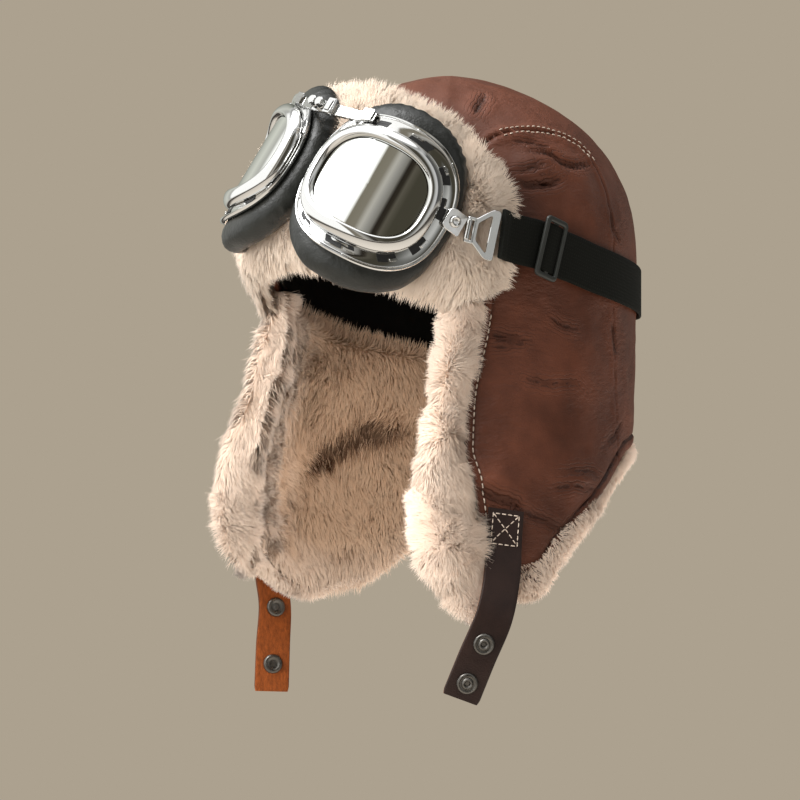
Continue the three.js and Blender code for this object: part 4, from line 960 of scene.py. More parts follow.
def leather_relief(phi, q, column):
    """Buckles, creases, soft unevenness, the raised seam with its groove, and the turned-up hem."""
    plain = skin(phi, q)
    z = plain[:, 2]
    creased, nearest, shown = crease_relief(plain)
    relief = buckle(phi, z) + sizes().crease_depth * creased
    relief += 0.55 * layered(plain, 26, 11) + 0.22 * noise(plain * np.array([1, 1, 1.9]), 9, 5)
    d = seam_reach(phi, q)
    pucker = noise(plain, 6.5, 21)
    sewn = 0.35 + 0.65 * smooth((z + 72) / 30)
    raised = 0.75 * (1 - smooth((np.abs(d) - 3.4) / 2.2)) * (1 + 0.45 * pucker)
    relief += (raised - 1.25 * np.exp(-((d / 0.75) ** 2))) * sewn + 0.3 * pucker * np.exp(-((d / 8) ** 2))
    gathers = noise(plain * np.array([0.5, 2.2, 0.5]), 5.5, 44)
    relief += 0.32 * gathers * np.exp(-(((d - 7) / 5) ** 2)) * smooth((z + 55) / 20)
    low, front = edge_distance(column, phi, z)
    for gap in (low, front):
        band = (1 - smooth((gap - 4.6) / 1.0)) * (gap < 50)
        relief += (0.8 * band - 1.0 * np.exp(-(((gap - HEM_GROOVE) / 0.8) ** 2))
                   - 0.9 * np.exp(-((gap / 0.9) ** 2)) * (gap < 50))
    # The sewn groove along the hem also gets the painted shade of fine folds.
    groove = np.abs(low - HEM_GROOVE)
    nearest = np.minimum(nearest, groove)
    shown = np.maximum(shown, 0.8 * np.exp(-((groove / 2.2) ** 2)))
    under_band = band_cover(phi, z)
    relief -= under_band * np.maximum(relief, 0) * 0.8
    return relief, nearest, shown


def band_row(phi, column=1):
    """Height of the goggle band (column 1) or its distance out (column 2) at an angle."""
    away = np.abs(phi)
    return np.where(phi < 0, curve(BAND_RIGHT, away, column), curve(BAND_LEFT, away, column))


def band_cover(phi, z):
    """1 under the goggle band where it lies on the leather, 0 away from it."""
    return (1 - smooth((np.abs(z - band_row(phi)) - 12) / 5)) * smooth((np.abs(phi) - 72) / 8)


class HAT_OT_leather(bpy.types.Operator):
    """Build the three leather panels with their creases, seam and hem"""

    bl_idname = "hat.leather"
    bl_label = "Leather panels"

    def execute(self, context):
        phi, q, column, faces = leather_surface()
        phi, q = snapped(phi, q)
        relief, nearest, shown = leather_relief(phi, q, column)
        normal = outward(phi, q)
        plain = skin(phi, q)
        outer = plain + normal * relief[:, None]
        buckled = buckle(phi, plain[:, 2])
        inner = plain + normal * (np.minimum(relief, buckled) - LEATHER)[:, None]
        mid = tuple(colours().leather)
        paint = leather_paint("crown leather", tinted(mid, 0.42), mid, tinted(mid, 1.55))
        # How far the leather stands out of its buckles; the paint darkens it where it sinks, painted shade in creases
        # and grooves.
        seen = np.clip(0.5 + (relief - buckled) * 0.45, 0, 1)
        for name, test in (("crown_center", 0), ("crown_side_left", 1), ("crown_side_right", -1)):
            part = []
            for f in faces:
                middle = plain[f].mean(1)
                d = seam_distance(middle[:, 0], middle[:, 1])
                side = np.where(d > 0, np.sign(middle[:, 0]), 0)
                part.append(f[side == test])
            part = [f for f in part if len(f)]
            top, part, under, tone, crease, fold = compact(outer, part, inner, seen, nearest, shown)
            points, walls = thickened(top, under, part)
            values = {"relief": np.tile(tone, 2), "crease": np.tile(crease, 2), "fold": np.append(fold, 0 * fold)}
            fit(piece(f"{name}_leather", points, walls, paint, values=values, sharp=70), name)
        return {"FINISHED"}


class HAT_OT_lining(bpy.types.Operator):
    """Build the crown's lining, near black: its own dark cloth and painted shade inside the crown"""

    bl_idname = "hat.lining"
    bl_label = "Crown lining"

    def execute(self, context):
        column = wrapped(np.arange(0, 360, 4.0))
        away = np.abs(column)
        edge = np.where(away <= TEMPLE, face_edge(column) + 2, curve(LINING_EDGE, away))
        rows, n = 28, len(column)
        q = way_down(column, edge)[None] * np.linspace(0, 1, rows + 1)[1:, None]
        phi = np.broadcast_to(column, q.shape)
        p, normal = skin(phi, q), outward(phi, q)
        sag = 0.5 * layered(p, 22, 3)
        outer = (p - normal * LINING_FACE).reshape(-1, 3)
        inner = (p - normal * (LINING_BACK + np.abs(sag))[..., None]).reshape(-1, 3)
        outer = np.vstack([outer, [0, 0, CROWN_TOP - LINING_FACE]])
        inner = np.vstack([inner, [0, 0, CROWN_TOP - LINING_BACK]])
        points, faces = thickened(outer, inner, [fan(rows * n, n), grid_quads(rows, n, False, True)])
        # Painted shade: the lining is near black for the cloth's own dark colour and the shade inside the crown.
        paint = Paint("dark lining in painted shade", (0.0008, 0.0008, 0.0008), 0.75)
        paint.set(specular=0.12)
        paint.bump(paint.speckle(900, 2), 0.3, 0.0002)
        paint.uneven(120, 3, 0.5, 0.75)
        fit(piece("crown_lining_cloth", points, faces, paint.mat), "crown_lining")
        return {"FINISHED"}


# ---- goggle axes


def turn_matrix(axis, degrees):
    """Turn about x (0), y (1) or z (2)."""
    c, s = np.cos(np.radians(degrees)), np.sin(np.radians(degrees))
    m = np.eye(3)
    a, b = ((1, 2), (2, 0), (0, 1))[axis]
    m[a, a] = m[b, b] = c
    m[a, b], m[b, a] = -s, s
    return m


GOGGLE_YAW_TURN = turn_matrix(2, GOGGLE_YAW)
GOGGLE_TURN = turn_matrix(0, -GOGGLE_LEAN) @ turn_matrix(1, GOGGLE_ROLL)


def goggle(p):
    """From the goggles' own axes to the hat: roll, lean, move to the seat, then turn about the vertical."""
    return (np.asarray(p, float) @ GOGGLE_TURN.T + GOGGLE_SEAT) @ GOGGLE_YAW_TURN.T


def eye(side, p):
    """From an eye's (outward, up, out of the glass), bent to a cylinder, to the hat."""
    p = np.asarray(p, float)
    bend = p[..., 0] / LENS_BEND
    out = (LENS_BEND + p[..., 2]) * np.sin(bend)
    back = (LENS_BEND + p[..., 2]) * np.cos(bend) - LENS_BEND
    c, s = np.cos(np.radians(EYE_TURN)), np.sin(np.radians(EYE_TURN))
    x = side * (EYE_OFFSET + out * c + back * s)
    return goggle(np.stack([x, EYE_BACK + out * s - back * c, p[..., 1]], -1))


def eye_axes(side, p):
    """The other way: a point of the hat in the eye's bent axes."""
    local = (np.asarray(p, float) @ GOGGLE_YAW_TURN - GOGGLE_SEAT) @ GOGGLE_TURN
    x, y = side * local[..., 0] - EYE_OFFSET, local[..., 1] - EYE_BACK
    c, s = np.cos(np.radians(EYE_TURN)), np.sin(np.radians(EYE_TURN))
    out, back = x * c + y * s, x * s - y * c
    u = np.arctan2(out, back + LENS_BEND) * LENS_BEND
    return u, local[..., 2], np.hypot(out, back + LENS_BEND) - LENS_BEND


def oval_power(a):
    """Power of the super-oval of a half width: 2 is an ellipse, and small ovals are squarer."""
    return 2 + 0.6 * 30.5 / a


def oval(a, b, turn):
    """Super-oval: the cosine and sine to a power a little under 1, which fills the corners."""
    full = 2 / oval_power(a)
    c, s = np.cos(turn), np.sin(turn)
    return a * np.sign(c) * np.abs(c) ** full, b * np.sign(s) * np.abs(s) ** full


def eye_ring(side, section, steps):
    """A closed section of (half width, half height, shift, depth) carried round an eye."""
    a, b, shift, w = np.asarray(section, float).T[:, None, :]
    u, v = oval(a, b, full_turn(steps)[:, None])
    return lofted(eye(side, np.stack([u + shift, v, w + 0 * u], -1)), closed=True)


def in_pad(p, grow=0.0):
    """True where a point lies in the room of the goggles' pads and frames."""
    inside = np.zeros(np.shape(p)[:-1], bool)
    for side in (1, -1):
        u, v, w = eye_axes(side, p)
        wide, high = 54.0 + grow, 51.0 + grow
        power = oval_power(wide)
        body = (np.abs(u - 3) / wide) ** power + (np.abs(v) / high) ** power < 1
        slim = (np.abs(u - 3.5) / (wide - 8)) ** power + (np.abs(v) / (high - 8)) ** power < 1
        inside |= (w > -PAD_DEPTH - grow) & np.where(w > -8, slim, body) & (w < 40)
    return inside


# ---- pile


class Patch:
    """A surface of two numbers read once on a grid: its points, ways out, ways along both numbers and cell sizes."""

    def __init__(self, surface, first, second, rows, columns, flip=1, ease=0):
        self.points = surface(*spread(first, second, rows, columns))
        for _ in range(ease):
            self.points[1:-1, 1:-1] = self.eased(self.points)[1:-1, 1:-1]
        ds, dt = np.gradient(self.points, axis=0), np.gradient(self.points, axis=1)
        ds, dt = (self.eased(self.eased(d)) for d in (ds, dt))
        cross = np.cross(ds, dt)
        self.size = np.linalg.norm(cross, axis=-1, keepdims=True)
        self.out, self.first, self.second = unit(cross) * flip, unit(ds), unit(dt)

    @staticmethod
    def eased(field):
        """Each value becomes the mean of itself and its four neighbours."""
        p = np.pad(field, ((1, 1), (1, 1), (0, 0)), mode="edge")
        return (p[1:-1, 1:-1] + p[2:, 1:-1] + p[:-2, 1:-1] + p[1:-1, 2:] + p[1:-1, :-2]) / 5

    def part(self, start, stop):
        """The rows from start to stop as a patch of their own."""
        piece_of = copy.copy(self)
        for key in ("points", "out", "first", "second", "size"):
            setattr(piece_of, key, getattr(self, key)[start:stop])
        return piece_of

    def read(self, field, a, b):
        """A field at shares a and b of the grid, from its four nearest points."""
        rows, columns = field.shape[:2]
        x, y = np.clip(a, 0, 1) * (rows - 1), np.clip(b, 0, 1) * (columns - 1)
        i, j = np.minimum(x.astype(int), rows - 2), np.minimum(y.astype(int), columns - 2)
        u, v = (x - i)[:, None], (y - j)[:, None]
        return ((field[i, j] * (1 - u) + field[i + 1, j] * u) * (1 - v)
                + (field[i, j + 1] * (1 - u) + field[i + 1, j + 1] * u) * v)


def strand_piece(name, roots, normals, leans, lengths, widths, tips, shades, tan_and_shade_amount, paint, rng):
    """Flat strands: two wide points at the root, two half way up, and one at the tip.

    The way of a strand is its normal and its lean, more lean towards the tip; its width lies across both.
    """
    way = unit(normals * 0.8 + leans * 0.7)
    bend = unit(normals * 0.3 + leans)
    middle = roots + way * (lengths * 0.5)[:, None]
    tip = middle + bend * (lengths * 0.5)[:, None] + tips
    flat = unit(np.cross(tip - roots, normals) + 1e-6)
    face = unit(np.cross(flat, tip - roots))
    twist = rng.normal(0, 0.5, len(roots))[:, None]
    flat = flat * np.cos(twist) + face * np.sin(twist)
    half = flat * (widths * 0.5)[:, None]
    points = np.stack([roots - half, roots + half, middle - half * 0.85, middle + half * 0.85, tip], 1)
    n = len(roots)
    start = (np.arange(n) * 5)[:, None]
    quads = start + np.array([[0, 1, 3, 2]])
    tris = start + np.array([[2, 3, 4]])
    sides = np.array([-1, 1, -1, 1, 0])[None, :, None]
    lit = unit(normals[:, None] + 0.22 * bend[:, None] + 0.3 * flat[:, None] * sides)
    values = {"tip": np.tile(np.array([0.1, 0.1, 0.6, 0.6, 1.0]), n), "shade": np.repeat(shades, 5),
              "tan_and_shade": np.repeat(tan_and_shade_amount, 5)}
    return piece(name, points.reshape(-1, 3), [quads, tris], paint, values=values, normals=lit.reshape(-1, 3))


def steady(along, across, drop=0.0):
    """A flow that is the same everywhere: shares of the patch's two ways, and straight down."""

    def flow(a, b, roots, normals, first, second):
        """The lean of strands with these roots."""
        return first * along + second * across - np.array([0, 0, drop])
    return flow


def clear_of_band(roots, tips):
    """Keeps the strands whose tips are outside the goggle band."""
    return ~in_band(tips)


def grow_pile(name, patch, count, length, width, flow, paint, keep=None, seed=1, shadow=None, tan_and_shade_amount=None,
              uneven=1.0):
    """Strands spread evenly over a patch.

    Roots follow a two-number sequence whose steps are powers of the plastic ratio, and are kept by cell size.
    The lean is the flow, plus drifts along both ways of the patch from noise at 30, 9 and 3.6 mm.
    flow gives the lean, keep says which strands stay, shadow how much darker they are in painted shadow, and
    tan_and_shade_amount how much of the browner tan and painted shade colours they take.
    """
    rng = np.random.default_rng(seed)
    size = patch.size / np.percentile(patch.size, 96)
    tries = int(count / max(float(np.minimum(size, 1).mean()), 0.2) * 1.02)
    k = np.arange(tries)
    a, b = (0.5 + k * 0.7548776662466927) % 1, (0.5 + k * 0.5698402909980532) % 1
    kept = rng.random(tries) < patch.read(size, a, b)[:, 0]
    a, b = a[kept][:count], b[kept][:count]
    jitter = 0.35 / np.sqrt(count)
    a, b = a + rng.normal(0, jitter, len(a)), b + rng.normal(0, jitter, len(b))
    fields = (patch.points, patch.out, patch.first, patch.second)
    roots, normals, first, second = (patch.read(field, a, b) for field in fields)
    normals = unit(normals)
    lean = flow(a, b, roots, normals, first, second)
    for way, start in ((first, seed + 100), (second, seed + 200)):
        drift = (0.34 * noise(roots, 30, start) + 0.36 * noise(roots, 9, start + 1)
                 + 0.26 * noise(roots, 3.6, start + 2))
        lean = lean + unit(way) * drift[:, None]
    lean = lean + rng.normal(0, 0.10, lean.shape)
    lean = lean - normals * (lean * normals).sum(1)[:, None] * 0.85
    grown = length * (1 + 0.14 * noise(roots, 6, seed + 5)) * rng.uniform(0.72, 1.12, len(roots))
    tips = rng.normal(0, 0.035 * length, lean.shape)
    spots = (0.14 * noise(roots, 8, seed + 6) + 0.06 * noise(roots, 2.6, seed + 7)
             + rng.normal(0, 0.06, len(roots)))
    shades = 0.78 + uneven * spots
    if shadow is not None:
        shades = shades - shadow(roots) * rng.uniform(0.4, 1.3, len(roots))
    tan_and_shade = np.zeros(len(roots)) if tan_and_shade_amount is None else tan_and_shade_amount(roots)
    columns = [roots, normals, lean, grown, tips, shades, tan_and_shade]
    if keep is not None:
        reach_out = roots + (normals * 0.55 + lean * 0.7) * grown[:, None]
        good = keep(roots, reach_out)
        columns = [c[good] for c in columns]
    roots, normals, lean, grown, tips, shades, tan_and_shade = columns
    widths = width * rng.uniform(0.7, 1.25, len(roots))
    shades = np.clip(shades, 0, 1)
    fit(strand_piece(name, roots, normals, lean, grown, widths, tips, shades, tan_and_shade, paint, rng))


def brim_place(along, across):
    """Angle and way down of a spot of the brim: a straight blend between its low and its high edge."""
    a = np.abs(along)
    side = np.where(along < 0, -1.0, 1.0)
    low_phi, high_phi = side * curve(BRIM_EDGES, a, 1), side * curve(BRIM_EDGES, a, 3)
    tilt = 0.5 * FACE_TILT * np.sin(np.radians(low_phi)) * (1 - a * a)
    low = way_down(low_phi, curve(BRIM_EDGES, a, 2) - tilt)
    high = way_down(high_phi, curve(BRIM_EDGES, a, 4))
    return low_phi + (high_phi - low_phi) * across, low + (high - low) * across


def brim_thickness(along, across):
    """How thick the brim is: full in the middle, with round edges and thinner at the temples."""
    edge = np.maximum(0, 1 - np.abs(2 * across - 1) ** 2.6) ** 0.5
    return 2.2 + BRIM_THICK * edge * (0.62 + 0.38 * (1 - np.abs(along) ** 4))


def brim_point(along, across, out):
    """A spot of the brim at a distance out of its lower face, which follows the leather's buckles."""
    phi, q = brim_place(along, across)
    lift = 1.5 * buckle(phi, skin(phi, q)[..., 2])
    return skin(phi, q) + outward(phi, q) * (BRIM_GAP + lift + out)[..., None]


def brim_room(along, across, height):
    """The height, lowered where the goggles press on the brim: the highest of 14 steps that is clear of them."""
    clear = np.ones(np.shape(along), bool)
    best = np.zeros(np.shape(along))
    for share in np.linspace(0.06, 1, 14):
        p = brim_point(along, across, height * share)
        clear &= ~in_pad(p, 1.0) & ~in_band(p)
        best = np.where(clear, share, best)
    return height * np.maximum(best, 0.04)


def in_band(p):
    """True where a point lies in the room of the goggle band."""
    phi, share = front_polar(p)
    away = np.abs(phi)
    out = (share - reach(phi, p[..., 2])) * MEAN_REACH
    covered = (away > np.where(phi < 0, 48, 62)) & (away < 84)
    return covered & (np.abs(p[..., 2] - band_row(phi)) < 12.5) & (out > band_row(phi, 2) - 1.5)


class HAT_OT_brim(bpy.types.Operator):
    """Build the turned-up brim: a backing pad and its pile"""

    bl_idname = "hat.brim"
    bl_label = "Fur brim"

    def execute(self, context):
        pile = sizes().brim_pile / MM
        pale = ((0.68, 0.51, 0.38), (0.83, 0.67, 0.53), tuple(colours().pile))
        paint = fur_paint("brim pile", pale, pale)
        low, high = BRIM_ROOTS

        def surface(along, across):
            """The face that the pile is rooted on, half its length under the brim's outer form."""
            height = np.maximum(brim_thickness(along, across) - 0.5 * pile, 0.8)
            return brim_point(along, across, brim_room(along, across, height))

        rows, columns = BRIM_GRID
        patch = Patch(surface, (-BRIM_END, BRIM_END), (low, high), rows, columns, ease=4)
        along, across = spread((-BRIM_END, BRIM_END), (low, high), rows, columns)
        inner = brim_point(along, across, 0 * along)
        points, faces = wall(patch.points[::2, ::2], inner[::2, ::2])
        values = {"tip": np.full(len(points), 0.4), "shade": np.clip(0.7 + 0.2 * noise(points, 5, 2), 0, 1)}
        fit(piece("fur_brim_backing", points, faces, paint, values=values), "fur_brim")

        def keep(roots, tips):
            """Strands that the goggles and their band leave free."""
            pressed = in_pad(roots, 0.0) | in_pad((roots + tips) / 2, -1.0) | in_pad(tips, -2.5)
            return ~(pressed | in_band(tips) | in_band((roots + tips) / 2))

        def flow_between(start, end):
            """A flow for the brim from one place along it to another."""

            def flow(a, b, roots, normals, first, second):
                """Up in the upper half, down in the lower, outwards at the temples, and a little down all over."""
                s = start + (end - start) * a
                away = np.where(b > 0.5, 0.62 * smooth(2 * b - 1), -0.8 * smooth(1 - 2 * b))
                ends = np.sign(s) * 0.5 * smooth((np.abs(s) - 0.75) / 0.25)
                return second * away[:, None] + first * ends[:, None] - np.array([0, 0, 0.22])
            return flow

        count, width = sizes().pile_count, sizes().strand_width / MM
        for word, start, end, share in (("right", -BRIM_END, -0.05, 0.60), ("left", -0.05, BRIM_END, 0.80)):
            first, last = (int((edge + BRIM_END) / (2 * BRIM_END) * (rows - 1)) for edge in (start, end))
            grow_pile(f"fur_brim_pile_{word}", patch.part(first, last + 1), int(count * share), pile, width,
                      flow_between(start, end), paint, keep, seed=31 + len(word))

        def rim(turn, depth):
            """The cut edge of the backing: along its high side, down an end, along its low side, up the other end."""
            corners = (0, 0.42, 0.5, 0.92, 1)
            along = BRIM_END * np.interp(turn, corners, (-1, 1, 1, -1, -1))
            across = np.interp(turn, corners, (high, high, low, low, high))
            lifted, flat = surface(along, across), brim_point(along, across, 0 * along)
            return lifted + (flat - lifted) * depth[..., None]

        grow_pile("fur_brim_rim_pile", Patch(rim, (0, 1), (0, 1), 220, 8), int(count * 0.14), 0.72 * pile, width,
                  steady(0, 0.35), paint, keep, seed=38)
        return {"FINISHED"}


def fold_depth(p, rows, width):
    """exp(-(d/w)²) of the distance d to a line of (angle, height) rows on the inner face of the pile."""
    line, fade = traced(np.asarray(rows, float), 20, -PILE_INSET - PILE_ROOT * PILE_THICK, 3.5, 0.12)
    flat = p.reshape(-1, 3)
    fall = np.zeros(len(flat))
    near = np.linalg.norm(flat - line.mean(0), axis=1) < 80
    if near.any():
        gap = np.linalg.norm(flat[near, None] - line[None], axis=2)
        fall[near] = (np.exp(-((gap / width) ** 2)) * fade).max(1)
    return fall.reshape(p.shape[:-1])


def pile_shadow(p):
    """How much darker the pile is at its folds, unevenly so."""
    dark = sum(dark * fold_depth(p, rows, 0.8 * width) for rows, _, width, dark in PILE_FOLDS)
    return dark * (0.85 + 0.3 * noise(p, 8, 77))


def pile_sheet(s, t, depth):
    """Pile of flaps and nape: s runs from the left flap round the nape to the right, t from the lining down.

    depth is 0 on its outer face and 1 on its inner one, which sinks by the depth of the folds near it.
    """
    start = TEMPLE - PILE_FORWARD
    column = wrapped(start + (360 - 2 * start) * s)
    away = np.maximum(TEMPLE, np.abs(column))
    top = curve(LINING_EDGE, away) - 1.5
    low = hem(np.where(column < 0, -away, away)) - PILE_OVERHANG
    z = top + (low - top) * t
    phi = leaned(column, z)
    thick = 3 + (PILE_THICK - 3) * smooth((top - z) / 28)
    thick = thick * (1 - 0.3 * smooth((t - 0.94) / 0.06)) + 0.8 * layered(at(column, z, 0 * z), 30, 14)
    if np.any(depth > 0.5):
        face = at(phi, z, 0 * z - PILE_INSET - PILE_ROOT * PILE_THICK)
        sink = sum(deep * fold_depth(face, rows, width) for rows, deep, width, _ in PILE_FOLDS)
        thick = np.maximum(thick - sink, 0.8)
    return at(phi, z, -PILE_INSET - thick * depth)


def pile_tan_and_shade(p):
    """How much of the browner colours a spot of pile takes, its own tan and painted shade: least at the front edge of
    a flap and at the hem, 1 from 3 cm inside them, and high in the fold by the roll, where it is painted shade.
    """
    phi = bearing(p[..., 0], p[..., 1], plan_depth(p[..., 1]))
    z = p[..., 2]
    from_front = (np.abs(phi) - curve(FLAP_FRONT, z)) * PILE_DEGREE
    lean = curve(FLAP_FRONT, z) - TEMPLE
    from_hem = z - hem(np.sign(phi) * np.maximum(np.abs(phi) - lean, TEMPLE)) + PILE_OVERHANG
    # Painted shade: the valley beside the roll is painted browner.
    beside_roll = 0.85 * np.exp(-(((from_front - 12) / 7) ** 2)) * smooth(from_hem / 16)
    return 0.3 + 0.7 * np.maximum(smooth((np.minimum(from_front, 0.8 * from_hem) - 3) / 27), beside_roll)


def hem_roll(s, t):
    """The pile's lower end, gathered: down the outside of the sheet, then a half round to its inside."""
    turn = np.pi * smooth((t - 0.45) / 0.55)
    puff = 1 + 0.4 * noise(pile_sheet(s, 0.95 + 0 * s, 0.3 + 0 * s), 22, 71)
    bulge = 3.0 * puff * np.sin(np.pi * np.clip(t / 0.75, 0, 1))
    p = pile_sheet(s, 0.84 + 0.115 * np.clip(t / 0.45, 0, 1), 0.31 - 0.31 * np.cos(turn))
    away = unit(p * np.array([1, 1, 0]))
    drop = 4.5 * puff * np.sin(turn) + 7.5 * smooth((s - 0.83) / 0.08) * np.clip(t / 0.45, 0, 1)
    return p - np.array([0, 0, 1.0]) * drop[..., None] + away * bulge[..., None]


def roll_point(side, table, z, turn):
    """The roll of pile: an ellipse between the front and rear angles, standing up to its height, all shrunk.

    The ellipse reaches those angles where the cosine of its turn is 0.924, and its front is drawn in.
    """
    front, rear, high = (curve(table, z, k) for k in (1, 2, 3))
    inward = np.where(np.cos(turn) < 0, 4.1 - 0.9 * side, 0.0)
    phi = (front + rear) / 2 + ((rear - front) / 2 / 0.924 - ROLL_SHRINK / PILE_DEGREE - inward) * np.cos(turn)
    return at(side * phi, z, (high - ROLL_SHRINK) * np.sin(turn) - 1)


class HAT_OT_flap_pile(bpy.types.Operator):
    """Build the pile of the flaps and the nape: the lining inside, the rolls in front and the hem"""

    bl_idname = "hat.flap_pile"
    bl_label = "Flap and nape pile"

    def execute(self, context):
        # The second colours are the browner pile deep in a flap: its own tan, with painted shade.
        paint = fur_paint("flap pile", ((0.78, 0.58, 0.43), (0.93, 0.74, 0.59), (0.98, 0.83, 0.70)),
                          ((0.42, 0.24, 0.13), (0.78, 0.53, 0.35), (0.90, 0.67, 0.48)))
        width = sizes().strand_width / MM
        count = sizes().pile_count
        parts = []
        for side, table in ((1, ROLL_LEFT), (-1, ROLL_RIGHT)):
            z = np.linspace(table[0][0] + ROLL_RISE, table[-1][0], 60)
            parts.append(lofted(roll_point(side, table, z[:, None], full_turn(24)[None])))
        s, t = spread((0, 1), (0, 0.97), 130, 46)
        parts.append(wall(pile_sheet(s, t, 0.0 * s), pile_sheet(s, t, 0.0 * s + PILE_ROOT)))
        edge = hem_roll(*spread((0, 1), (0, 1), 200, 14))
        parts.append(wall(edge, edge + (edge.mean(1, keepdims=True) - edge) * 0.25))
        points, faces = joined(parts)
        shade = 0.7 + 0.2 * noise(points, 5, 9) - pile_shadow(points)
        # Painted shade: the backing seen between strands takes at least 0.7 of the browner colours.
        values = {"tip": np.full(len(points), 0.4), "shade": np.clip(shade, 0, 1),
                  "tan_and_shade": np.maximum(pile_tan_and_shade(points), 0.7)}
        fit(piece("fur_lining_backing", points, faces, paint, values=values), "fur_lining")

        long = sizes().flap_pile / MM
        for side, table, word, share, low_turn, high_turn in (
            (1, ROLL_LEFT, "left", 0.52, -0.25, np.pi + 0.9), (-1, ROLL_RIGHT, "right", 0.5, 0.4, 2 * np.pi - 0.6),
        ):
            roll = functools.partial(roll_point, side, table)
            foot = table[0][0] + ROLL_RISE

            def comb(a, b, roots, normals, first, second, low_turn=low_turn, high_turn=high_turn):
                """Away from the middle of the roll, more to its front than to its rear, and down, in tufts."""
                turn = low_turn + (high_turn - low_turn) * b
                away = np.where(np.cos(turn) > 0, 0.2, 0.55) * np.cos(turn) + 0.3 * noise(roots, 11, 83)
                return -second * away[:, None] - first * (0.4 + 0.45 * noise(roots, 14, 84))[:, None]

            top = table[-1][0] + (4.0 if side > 0 else 12.0)
            patch = Patch(roll, (foot, top), (low_turn, high_turn), 110, 40, side)
            grow_pile(f"fur_roll_pile_{word}", patch, int(count * share), long, width, comb, paint, clear_of_band,
                      seed=41 + side)

            # The strip of the roll that the combed pile leaves bare, beside the leather or the lining.
            low_side, high_side = (np.pi + 0.8, 2 * np.pi - 0.2) if side > 0 else (-0.65, 0.45)
            strip = Patch(roll, (foot, top), (low_side, high_side), 90, 16, side)
            grow_pile(f"fur_roll_side_pile_{word}", strip, int(count * (0.08 if side > 0 else 0.055)), long * 0.7,
                      width, steady(-0.5, 0), paint, clear_of_band, seed=48 + side)

            def tip_end(turn, drop, roll=roll, foot=foot):
                """The rounded lower end of the roll: rings that shrink as they go down."""
                ring = roll(foot - 3.0 * np.sin(drop), turn)
                heart = ring.mean(0, keepdims=True)
                return heart + (ring - heart) * np.cos(drop)[..., None]

            end = Patch(tip_end, (0, 2 * np.pi), (0, 1.45), 40, 10, side)
            grow_pile(f"fur_roll_end_{word}", end, int(count * 0.03), 9.0, width, steady(0, 0, 0.8), paint,
                      seed=45 + side)

        short = sizes().inner_pile / MM

        def inside(s, t):
            """The face that the inner pile is rooted on."""
            return pile_sheet(s, t, 0 * s + PILE_ROOT)

        def sweep(a, b, roots, normals, first, second, word):
            """Up out of the lining's edge, then down, in waves, and towards the face on both flaps."""
            forward = {"left": -smooth((0.25 - a) / 0.2), "nape": 0 * a, "right": smooth((a - 0.78) / 0.18)}[word]
            flow = layered(roots, 46, 27)[:, None]
            down = smooth((b - 0.02) / 0.05)[:, None]
            return (second * ((1.75 + 0.35 * flow) * down - 1.0)
                    + first * (0.6 * noise(roots, 26, 33) + 0.3 * forward)[:, None])

        for word, low, high, share, coarse in (
            ("left", 0.0, 0.36, 0.18, 1.35), ("nape", 0.36, 0.62, 0.16, 1.35), ("right", 0.62, 1.0, 0.57, 1.0),
        ):
            patch = Patch(inside, (low, high), (0.0, 0.985), 110, 70, PILE_FACES_IN)
            grow_pile(f"fur_inner_pile_{word}", patch, int(count * share), short, width * coarse,
                      functools.partial(sweep, word=word), paint, seed=51 + len(word), shadow=pile_shadow,
                      tan_and_shade_amount=pile_tan_and_shade)

        # Longer pile in the fold between each roll and the inner pile, combed over the roll, taking half the tan and
        # painted shade of the pile beside it.
        for word, low, high, over, share in (("left", 0.012, 0.055, -0.5, 0.02), ("right", 0.945, 0.988, 0.5, 0.05)):
            patch = Patch(inside, (low, high), (0.03, 0.93), 30, 90, PILE_FACES_IN)
            grow_pile(f"fur_fold_pile_{word}", patch, int(count * share), 10.5, width, steady(over, 0.25), paint,
                      seed=71, tan_and_shade_amount=lambda p: 0.5 * pile_tan_and_shade(p))

        patch = Patch(hem_roll, (0.0, 1.0), (0.12, 1.0), 260, 20, -PILE_FACES_IN)
        grow_pile("fur_hem_pile", patch, int(count * 0.38), 5.5, width * 1.1, steady(0, 0, 0.5), paint, seed=61,
                  uneven=0.4)
        return {"FINISHED"}


# ---- straps


def centripetal(rows, t):
    """A smooth line through points: each piece is a cubic whose end slopes weigh the roots of the spans."""
    p = np.asarray(rows, float)[:, :3]
    p = np.vstack([2 * p[0] - p[1], p, 2 * p[-1] - p[-2]])
    place = np.asarray(t, float) * (len(p) - 3)
    k = np.clip(np.floor(place).astype(int), 0, len(p) - 4)
    w = (place - k)[:, None]
    x0, x1, x2, x3 = p[k], p[k + 1], p[k + 2], p[k + 3]
    d0, d1, d2 = (np.linalg.norm(b - a, axis=1)[:, None] ** 0.5 for a, b in ((x0, x1), (x1, x2), (x2, x3)))
    m1 = ((x1 - x0) / d0 - (x2 - x0) / (d0 + d1) + (x2 - x1) / d1) * d1
    m2 = ((x2 - x1) / d1 - (x3 - x1) / (d1 + d2) + (x3 - x2) / d2) * d1
    return ((2 * w**3 - 3 * w**2 + 1) * x1 + (w**3 - 2 * w**2 + w) * m1
            + (3 * w**2 - 2 * w**3) * x2 + (w**3 - w**2) * m2)


def chin_frames(rows, t):
    """Point, tangent, across and face of a chin strap."""
    t = np.atleast_1d(np.asarray(t, float))
    point = centripetal(rows, t)
    tangent = unit(centripetal(rows, np.clip(t + 0.004, 0, 1)) - centripetal(rows, np.clip(t - 0.004, 0, 1)))
    table = np.asarray(rows, float)
    facing = np.radians(np.interp(t * (len(table) - 1), np.arange(len(table)), table[:, 3]))
    toward = np.stack([np.sin(facing), -np.cos(facing), 0 * facing], -1)
    across = unit(np.cross(tangent, toward))
    return point, tangent, across, unit(np.cross(across, tangent))


